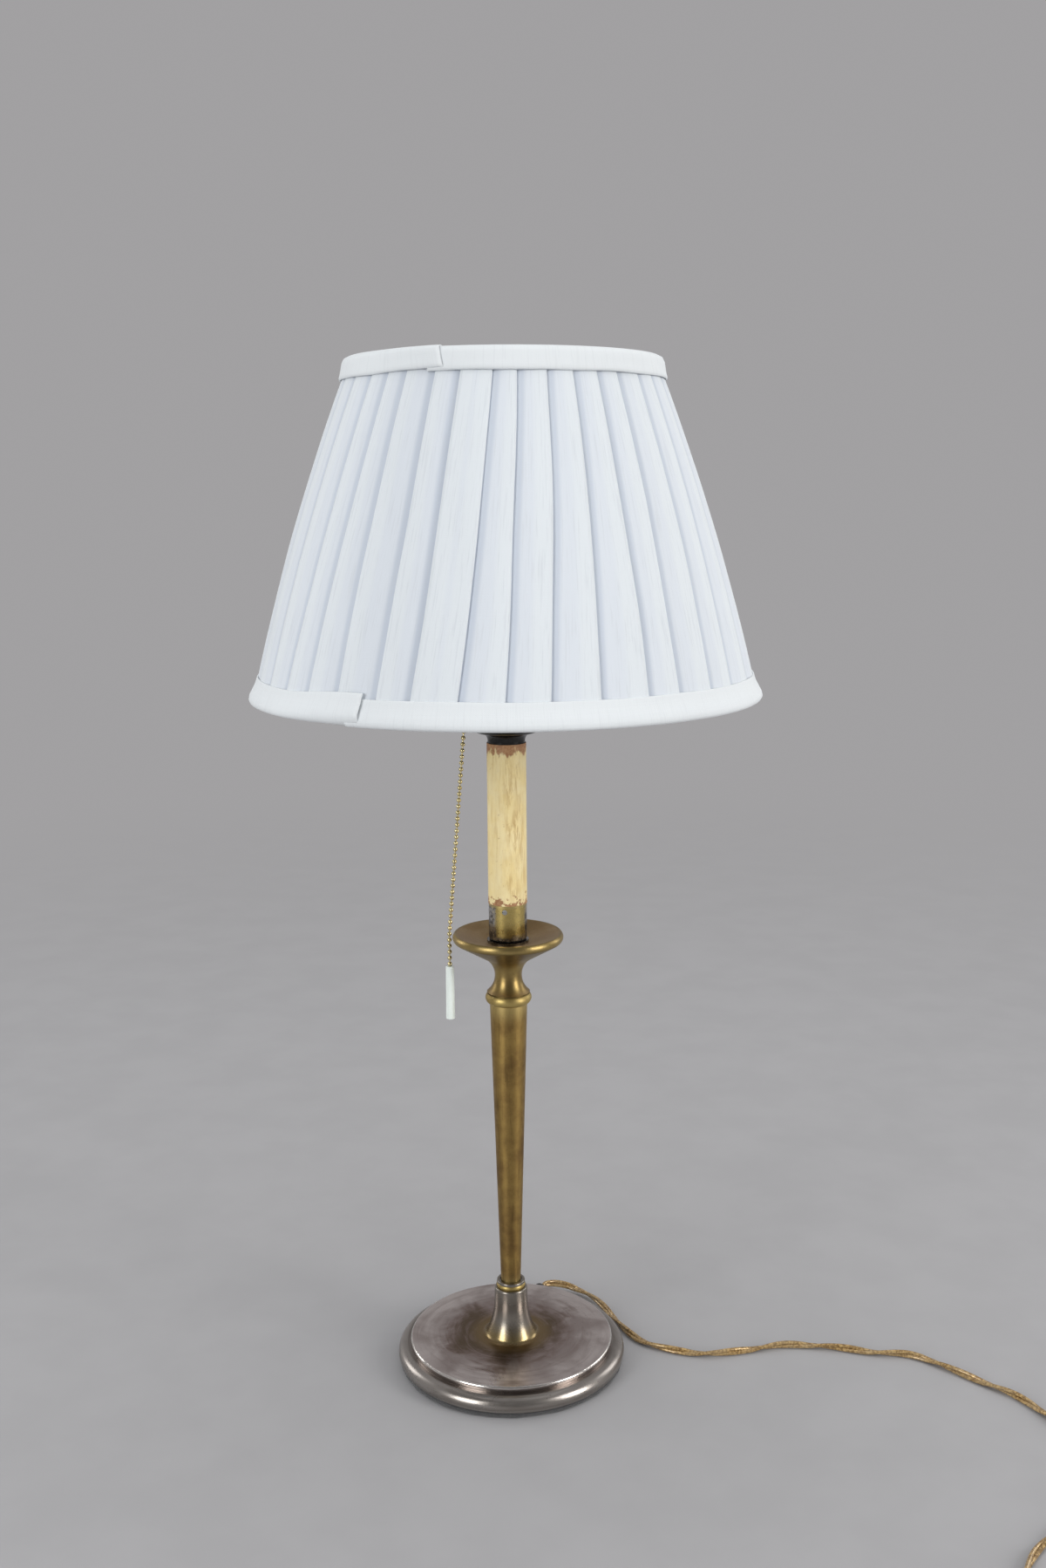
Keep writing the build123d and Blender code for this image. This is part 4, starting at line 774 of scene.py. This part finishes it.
# felt pad
felt = {
    "steps": 240,
    "shag": 0.55,
    "fuzz": 0.25,
    "section": [  # shares of the pad's radius and height
        (0.86, 0.0), (0.975, 0.0), (1.0, 0.16), (1.008, 0.5), (0.998, 0.85), (0.985, 1.0), (0.9, 1.0),
    ],
    "raggedFrom": 0.97,
    "dark": (0.022, 0.022, 0.023),
    "pale": (0.066, 0.065, 0.066),
}


def greyFelt(spec):
    settings = {"Roughness": 0.95, "Sheen Weight": 0.3, "Sheen Roughness": 0.6}
    paint, tree, shader = startMaterial("greyFelt", settings)
    fibres = grain(tree, place(tree), 1.6, 5, 0.7, 1.2)
    colour = blendColour(tree, spread(tree, fibres, 0.3, 0.7), spec["dark"], spec["pale"])
    fill(tree, shader, {"Base Color": colour})
    relief(tree, shader, fibres, 0.9, 0.8)
    return paint


def makeFelt(spec, paint):
    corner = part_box("felt_pad")[1]
    radius, top = corner[0], corner[2]
    steps, rows = spec["steps"], len(spec["section"])
    points = []
    for share, level in spec["section"]:
        for k in range(steps):
            angle = fullTurn * k / steps
            east, north = math.cos(angle), math.sin(angle)
            shag = noise.noise(Vector((east * 9, north * 9, level * 2))) * spec["shag"] * mm
            fuzz = noise.noise(Vector((east * 60, north * 60, level * 5))) * spec["fuzz"] * mm
            out = radius * share + (shag + fuzz if share > spec["raggedFrom"] and 0 < level < 1 else 0)
            points.append((out * east, out * north, top * level))
    piece = addMesh("feltSole", points, ringFaces(0, rows, steps) + endFaces(0, rows, steps), paint)
    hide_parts("felt_pad")


makeFelt(felt, greyFelt(felt))
print("felt made")

# cloth of the shade
cloths = {
    "pleatedCotton": {
        "thread": "coverThread",
        "double": (0.705, 0.743, 0.77),
        "single": (0.67, 0.708, 0.755),
        # colour of the painted shade beside a fold
        "under": (0.55, 0.597, 0.668),
        "slub": 0.5,
        "threads": 2.1,  # in a millimetre
    },
    "bandTape": {
        "thread": "bandThread",
        "double": (0.72, 0.75, 0.765),
        "single": (0.66, 0.69, 0.72),
        # the tape has no painted shade: this is its single colour
        "under": (0.66, 0.69, 0.72),
        "slub": 0.25,
        "threads": 1.6,
    },
}


def shadeCloth(name, spec):
    settings = {"Roughness": 0.86, "Sheen Weight": 0.12, "Sheen Roughness": 0.5}
    paint, tree, shader = startMaterial(name, settings)
    across = grain(tree, clothPlace(tree, spec["thread"], (1, 0.035, 1)), 1.1, 4, 0.65)
    along = grain(tree, clothPlace(tree, spec["thread"], (0.035, 1, 1)), 1.3, 3, 0.6)
    flat = parts(tree, clothPlace(tree, spec["thread"]))[:2]
    warp, weft = (sums(tree, "SINE", times(tree, v, fullTurn * spec["threads"])) for v in flat)
    layer = tree.nodes.new("ShaderNodeAttribute")
    layer.attribute_name = "layersAndShade"
    layersAndShade = layer.outputs["Fac"]
    double = sums(tree, "ADD", layersAndShade, spread(tree, across, 0.25, 0.75, -0.22, 0.22, "LINEAR"), clamp=True)
    colour = blendColour(tree, double, spec["single"], spec["double"])
    # painted shade beside each fold, where the attribute is below 0
    colour = blendColour(tree, spread(tree, layersAndShade, 0.0, -0.5), colour, spec["under"])
    dark = tuple(c * 0.86 for c in spec["single"])
    colour = wash(tree, colour, dark, spread(tree, across, 0.50, 0.68), spec["slub"])
    fill(tree, shader, {"Base Color": colour})
    threads = plus(tree, across, times(tree, along, 0.6))
    height = plus(tree, times(tree, times(tree, warp, weft), 0.25), threads)
    relief(tree, shader, height, 0.30, 0.25)
    return paint


def layCloth(piece, layersAndShade, name, thick):  # the layers and the painted shade beside folds steer the colour
    tone = piece.data.attributes.new("layersAndShade", "FLOAT", "POINT")
    tone.data.foreach_set("value", layersAndShade)
    cloth = piece.modifiers.new(name, "SOLIDIFY")
    cloth.thickness = thick * mm
    cloth.offset = -1


# pleated cover
shade = {
    "low": 349.8,
    "high": 506.6,
    "lowRadius": 121.0,
    "highRadius": 71.75,
    "bow": 3.4,
    "depthLow": 1.35,
    "depthHigh": 0.95,
    "lap": 0.12,
    "thick": 0.3,
    "underWide": 4.6,  # millimetres of painted shade beside a fold
    "settle": 0.24,  # share of a panel in which it comes up from under its neighbour
    "doubleShare": 0.42,  # share of a panel that is double cloth
    "doubleStray": 0.10,
    "doubleSlope": 7,
    "wander": 0.55,  # degrees
    "puff": 0.30,
    "soft": 0.20,
    "crowd": 1.35,  # power that crowds the columns at the side that lies under
    "roll": [(0.20, 0.10, 1.0), (0.46, 0.08, -0.5)],  # rolled edge of a fold: drop, reach, and layers, below 0 painted shade
    "rollEnd": (0.75, 0.02, -0.5),  # here the drop is a share of the depth
    "hidden": 1.28,  # the flat cloth is longer by what lies under the folds
    "rows": 48,
    "columns": 14,
    "frontFolds": [  # degrees round the shade at the lower and upper edge, and the side that lies under
        (-153.5, -149.3, -1), (-144.5, -138.3, -1), (-136.2, -129.9, -1), (-127.0, -122.1, -1),
        (-117.2, -111.3, -1), (-109.5, -102.6, -1), (-99.9, -92.5, 1), (-90.0, -84.9, 1),
        (-80.9, -75.0, 1), (-70.2, -66.3, 1), (-59.0, -57.4, 1), (-50.7, -49.0, 1),
        (-40.6, -38.3, 1), (-31.8, -29.0, 1), (-20.5, -19.0, 1),
    ],
    "backFolds": 21,
    "lowStray": 1,  # degrees
    "highStray": 0.8,
    "seed": 7,
    "turnAt": 95.0,  # behind this angle the pleats face the other way
}


def shadeRadius(spec, share):
    straight = spec["lowRadius"] + (spec["highRadius"] - spec["lowRadius"]) * share
    return straight + spec["bow"] * 4 * share * (1 - share)


def pleatFolds(spec):  # the folds in front, and more at about their spacing behind
    folds = list(spec["frontFolds"])
    rng = random.Random(spec["seed"])
    lowFrom, highFrom = folds[-1][:2]
    lowTo, highTo = folds[0][0] + 360, folds[0][1] + 360
    count = spec["backFolds"]
    for k in range(1, count + 1):
        share = k / (count + 1)
        low = lowFrom + (lowTo - lowFrom) * share + rng.uniform(-spec["lowStray"], spec["lowStray"])
        high = highFrom + (highTo - highFrom) * share + rng.uniform(-spec["highStray"], spec["highStray"])
        folds.append((low, high, 1 if low < spec["turnAt"] else -1))
    return folds


def clothLayersAndShade(spec, s, wide, double, overLeft, overRight):  # 1 is double, 0 single, below 0 painted shade beside a fold
    layersAndShade = 0.0
    if overLeft:
        layersAndShade = max(layersAndShade, (double - s) * spec["doubleSlope"] + 0.5)
    if overRight:
        layersAndShade = max(layersAndShade, (s - 1 + double) * spec["doubleSlope"] + 0.5)
    layersAndShade = min(1, max(0, layersAndShade))
    if not overLeft:
        layersAndShade = min(layersAndShade, s * wide / spec["underWide"] - 1)
    if not overRight:
        layersAndShade = min(layersAndShade, (1 - s) * wide / spec["underWide"] - 1)
    return layersAndShade


def coverRow(spec, folds, share):  # distance out, angle and height of a row's points, and the layers and painted shade there
    high = spec["low"] + (spec["high"] - spec["low"]) * share
    crest = shadeRadius(spec, share)
    depth = spec["depthLow"] + (spec["depthHigh"] - spec["depthLow"]) * share
    lap = math.degrees(spec["lap"] / crest)
    free = min(1, 5 * share * (1 - share))  # the cloth lies still under the bands
    away = 1 / crest
    columns = spec["columns"]
    points, layersAndShade, angles = [], [], []
    for k, fold in enumerate(folds):
        wander = spec["wander"] * 4 * share * (1 - share) * noise.noise(Vector((k * 3.7, share * 2.2, 1.3)))
        angles.append(fold[0] + (fold[1] - fold[0]) * share + wander)
    for k in range(len(folds)):
        after = (k + 1) % len(folds)
        side = folds[after][2]
        overLeft, overRight = folds[k][2] < 0, side > 0
        start, stop = angles[k], angles[after] + (360 if after == 0 else 0)
        start -= lap if overLeft else 0
        stop += lap if overRight else 0
        wide = crest * math.radians(stop - start)
        double = spec["doubleShare"] + spec["doubleStray"] * noise.noise(Vector((k * 1.9, 0, 5)))
        for c in range(columns + 1):
            s = 1 - (1 - c / columns) ** spec["crowd"] if overLeft else (c / columns) ** spec["crowd"]
            dip = 0.0
            if not overLeft:
                dip += math.exp(-s / spec["settle"])
            if not overRight:
                dip += math.exp(-(1 - s) / spec["settle"])
            puff = spec["puff"] * free * math.sin(math.pi * s) * noise.noise(Vector((k * 2.3, share * 3, s)))
            soft = spec["soft"] * free * noise.noise(Vector((k * 1.1 + s * 1.5, share * 5, 9)))
            angle = math.radians(start + (stop - start) * s)
            points.append((crest - depth * min(1, dip) + puff + soft, angle, high))
            layersAndShade.append(clothLayersAndShade(spec, s, wide, double, overLeft, overRight))
        edge = math.radians(angles[after]) + (fullTurn if after == 0 else 0)
        edge = edge + math.radians(lap) * side
        drop, reach, tone = spec["rollEnd"]
        roll = [*spec["roll"], (depth * drop, reach, tone)]
        for drop, reach, tone in roll if overRight else reversed(roll):
            points.append((crest - drop, edge + reach * away * side, high))
            layersAndShade.append(tone)
    return points, layersAndShade


def lengthsAlong(row):  # length of a closed row up to each of its points
    far = [0.0]
    for k in range(1, len(row) + 1):
        a, b = row[k - 1], row[k % len(row)]
        turn = (b[1] - a[1] + math.pi) % fullTurn - math.pi
        far.append(far[-1] + math.hypot(b[0] - a[0], turn * a[0]))
    return far


def makeCover(spec, paint):
    folds = pleatFolds(spec)
    rows = spec["rows"] + 1
    points, layersAndShade = [], []
    for row in range(rows):
        rowPoints, rowLayersAndShade = coverRow(spec, folds, row / spec["rows"])
        points += rowPoints
        layersAndShade += rowLayersAndShade
    across = len(points) // rows
    middle = rows // 2 * across
    far = lengthsAlong(points[middle:middle + across])
    spots = [(r * math.cos(a) * mm, r * math.sin(a) * mm, z * mm) for r, a, z in points]
    piece = addMesh("pleatedCover", spots, ringFaces(0, rows, across), paint)
    slant = math.hypot(spec["high"] - spec["low"], spec["lowRadius"] - spec["highRadius"])
    uv = piece.data.uv_layers.new(name="coverThread")
    for face in piece.data.polygons:
        closing = any(v % across == across - 1 for v in face.vertices)
        for loop in face.loop_indices:
            row, column = divmod(piece.data.loops[loop].vertex_index, across)
            if closing and column == 0:
                column = across
            uv.data[loop].uv = (far[column] * mm, slant * row / (rows - 1) * mm)
    layCloth(piece, layersAndShade, "clothThickness", spec["thick"])
    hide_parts("shade_cover")
    area = sum(face.area for face in piece.data.polygons)
    return len(folds), area


pleats, coverArea = makeCover(shade, shadeCloth("pleatedCotton", cloths["pleatedCotton"]))
print("cover made with", pleats, "pleats,", round(coverArea, 4), "square metres")

# bands
tape = {
    "thick": 0.5,
    "wave": 0.22,
    "edge": 0.35,
    "fray": 0.35,
    "overlap": 0.6,  # the end lies this far out over the start
    "climb": 4,  # degrees in which it gets there
    "flapPoints": 4,  # points of a section that stay inside, and then those of the fold
    "foldPoints": 3,
    "slantOver": 12,
}
bands = {
    "lowBand": {
        "node": "shade_bottom_band",
        "ring": "shade_lower_ring",
        "seam": -119.9,
        "lap": 3.2,
        "lift": 2.5,
        "liftOver": 26.0,
        "slant": 0.4,
        "steps": 300,
        "section": [  # distance out and height in millimetres, from the flap inside to the edge outside
            (114.6, 356.3), (114.1, 353.0), (114.2, 350.9), (115.4, 349.5), (118.4, 348.95), (121.2, 349.0),
            (122.6, 349.6), (123.1, 350.7), (122.75, 352.4), (121.5, 354.9), (120.3, 357.2), (119.5, 359.2),
            (119.1, 360.5), (118.85, 361.1), (118.35, 361.15),
        ],
    },
    "highBand": {
        "node": "shade_top_band",
        "ring": "shade_upper_ring",
        "seam": -110.4,
        "lap": 4.0,
        "lift": 1.5,
        "liftOver": 30.0,
        "slant": -3.4,
        "steps": 240,
        "section": [
            (66.9, 500.4), (66.4, 503.6), (66.6, 505.6), (67.8, 506.7), (70.2, 507.1), (72.6, 506.9),
            (74.0, 506.2), (74.7, 504.6), (75.1, 502.6), (75.5, 500.9), (75.9, 499.3), (76.2, 498.2),
            (76.15, 497.6), (75.7, 497.3),
        ],
    },
}


def makeBand(name, spec, paint):
    section, steps, lap = spec["section"], spec["steps"], spec["lap"]
    across, sweep = len(section), 360 + lap
    middleOut, middleHigh = section[across // 2]
    edges = (0, across - 2, across - 1)
    points, uvs = [], []
    for k in range(steps + 1):
        share = k / steps
        angle = math.radians(spec["seam"] - lap + sweep * share)
        east, north = math.cos(angle), math.sin(angle)
        late = max(0.0, (share * sweep - (sweep - spec["liftOver"])) / spec["liftOver"])
        late = late * late * (3 - 2 * late)
        over = max(0.0, min(1.0, (share * sweep - (sweep - lap - spec["climb"])) / spec["climb"]))
        along = 0.0
        for j, (out, high) in enumerate(section):
            if j:
                along += math.hypot(out - section[j - 1][0], high - section[j - 1][1])
            outside = min(1, max(0, (j - spec["flapPoints"]) / spec["foldPoints"]))
            wave = spec["wave"] * noise.noise(Vector((east * 5, north * 5, j * 0.35)))
            edge = spec["edge"] * noise.noise(Vector((east * 3.2, north * 3.2, 4))) if j in edges else 0
            fray = spec["fray"] * noise.noise(Vector((j * 1.7, k * 3.1, 2))) if k in (0, steps) else 0
            lean = spec["slant"] * (high - middleHigh) / spec["slantOver"]
            reach = out + (spec["overlap"] * over + wave) * outside
            turn = angle + (lean + fray) / out * min(1, late * 3)
            level = high + edge + spec["lift"] * late * outside
            points.append((reach * math.cos(turn) * mm, reach * math.sin(turn) * mm, level * mm))
            uvs.append((math.radians(sweep * share) * middleOut * mm, along * mm))
    faces = []
    for k in range(steps):
        for a in range(k * across, (k + 1) * across - 1):
            faces.append((a, a + across, a + across + 1, a + 1))
    piece = addMesh(name, points, faces, paint)
    uv = piece.data.uv_layers.new(name="bandThread")
    for loop in piece.data.loops:
        uv.data[loop.index].uv = uvs[loop.vertex_index]
    layCloth(piece, [1.0] * len(points), "tapeThickness", spec["thick"])
    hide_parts(spec["node"])


bandPaint = shadeCloth("bandTape", cloths["bandTape"])
for bandName, bandSpec in bands.items():
    makeBand(bandName, {**tape, **bandSpec}, bandPaint)
print("bands made")

# floor and light
studio = {
    "ground": (0.385, 0.379, 0.385),
    "far": (0.36, 0.353, 0.36),
    "sky": (0.97, 0.98, 1.0),
    "lamps": [  # name, place and size in metres, watts, colour
        ("leftSoftbox", (-1.5, -1.63, 0.78), (0.85, 1.35), 24.3, (0.985, 0.995, 1.0)),
        ("rightSoftbox", (1.98, -0.98, 0.86), (0.85, 1.35), 28.2, (1.0, 0.99, 0.975)),
        ("topSoftbox", (0.0, 0.1, 1.6), (1.2, 1.0), 2.0, (1.0, 0.99, 0.98)),
        ("rearLeftSoftbox", (-2.1, 1.1, 1.0), (0.8, 1.2), 6.5, (1.0, 0.995, 0.99)),
        ("rearRightSoftbox", (2.1, 1.1, 1.0), (0.8, 1.2), 6.5, (1.0, 0.995, 0.99)),
    ],
    "aim": (0, 0, 0.25),
    "skyStrength": 0.46,
    "zenith": 1.0,  # light from straight above, which reaches into the shade
    "zenithFrom": (0.6, 0.95),
    "frontDim": 0.4,  # how much of the background shows in metal on the camera's side of the room
    "frontFrom": (-0.75, 0.15),
    "floorHalf": 9,
    "floorDrop": 0.0004,
    "floorFade": (500, 1700),  # millimetres from the axis
}


def makeStudio(spec):
    scene = bpy.context.scene
    scene.view_settings.view_transform = "Standard"
    world = bpy.data.worlds.new("studioWorld")
    world.use_nodes = True
    scene.world = world
    tree = world.node_tree
    depth, height = parts(tree, tree.nodes.new("ShaderNodeTexCoord").outputs["Generated"])[1:]
    back = fill(tree, tree.nodes["Background"], {0: (*spec["far"], 1)})
    dimmed = spread(tree, depth, *spec["frontFrom"], spec["frontDim"], 1.0)
    mirrored = fill(tree, tree.nodes.new("ShaderNodeBackground"), {0: (*spec["far"], 1), 1: dimmed})
    skyLight = spread(tree, height, *spec["zenithFrom"], spec["skyStrength"], spec["zenith"])
    soft = fill(tree, tree.nodes.new("ShaderNodeBackground"), {0: (*spec["sky"], 1), 1: skyLight})
    seen = tree.nodes.new("ShaderNodeLightPath").outputs
    clear = sums(tree, "MAXIMUM", seen["Is Camera Ray"], seen["Is Transmission Ray"])
    either = mixShaders(tree, seen["Is Glossy Ray"], mixShaders(tree, clear, soft, back), mirrored)
    tree.links.new(either.outputs[0], tree.nodes["World Output"].inputs[0])
    for name, spot, size, power, tint in spec["lamps"]:
        light = bpy.data.lights.new(name, "AREA")
        light.shape = "RECTANGLE"
        light.size, light.size_y = size
        light.energy = power
        light.color = tint
        holder = bpy.data.objects.new(name, light)
        scene.collection.objects.link(holder)
        holder.location = spot
        aim = Vector(spec["aim"]) - Vector(spot)
        holder.rotation_euler = aim.to_track_quat("-Z", "Y").to_euler()


def makeFloor(spec):
    paint, tree, shader = startMaterial("studioFloor", {"Roughness": 0.9, "Specular IOR Level": 0.1})
    where = place(tree)
    mottled = spread(tree, grain(tree, where, 0.02, 3), 0.3, 0.7)
    dark = tuple(c * 0.96 for c in spec["ground"])
    fill(tree, shader, {"Base Color": blendColour(tree, mottled, spec["ground"], dark)})
    glow = fill(tree, tree.nodes.new("ShaderNodeEmission"), {0: (*spec["far"], 1), 1: 1.0})
    both = mixShaders(tree, spread(tree, axisDistance(tree, where), *spec["floorFade"]), shader, glow)
    tree.links.new(both.outputs[0], tree.nodes["Material Output"].inputs[0])
    mesh = bpy.data.meshes.new("studioFloor")
    half = spec["floorHalf"]
    corners = [(-half, -half, 0), (half, -half, 0), (half, half, 0), (-half, half, 0)]
    mesh.from_pydata(corners, [], [(0, 1, 2, 3)])
    mesh.materials.append(paint)
    ground = bpy.data.objects.new("studioFloor", mesh)
    bpy.context.scene.collection.objects.link(ground)
    ground.location.z = -spec["floorDrop"]


makeStudio(studio)
makeFloor(studio)
print("studio lit")
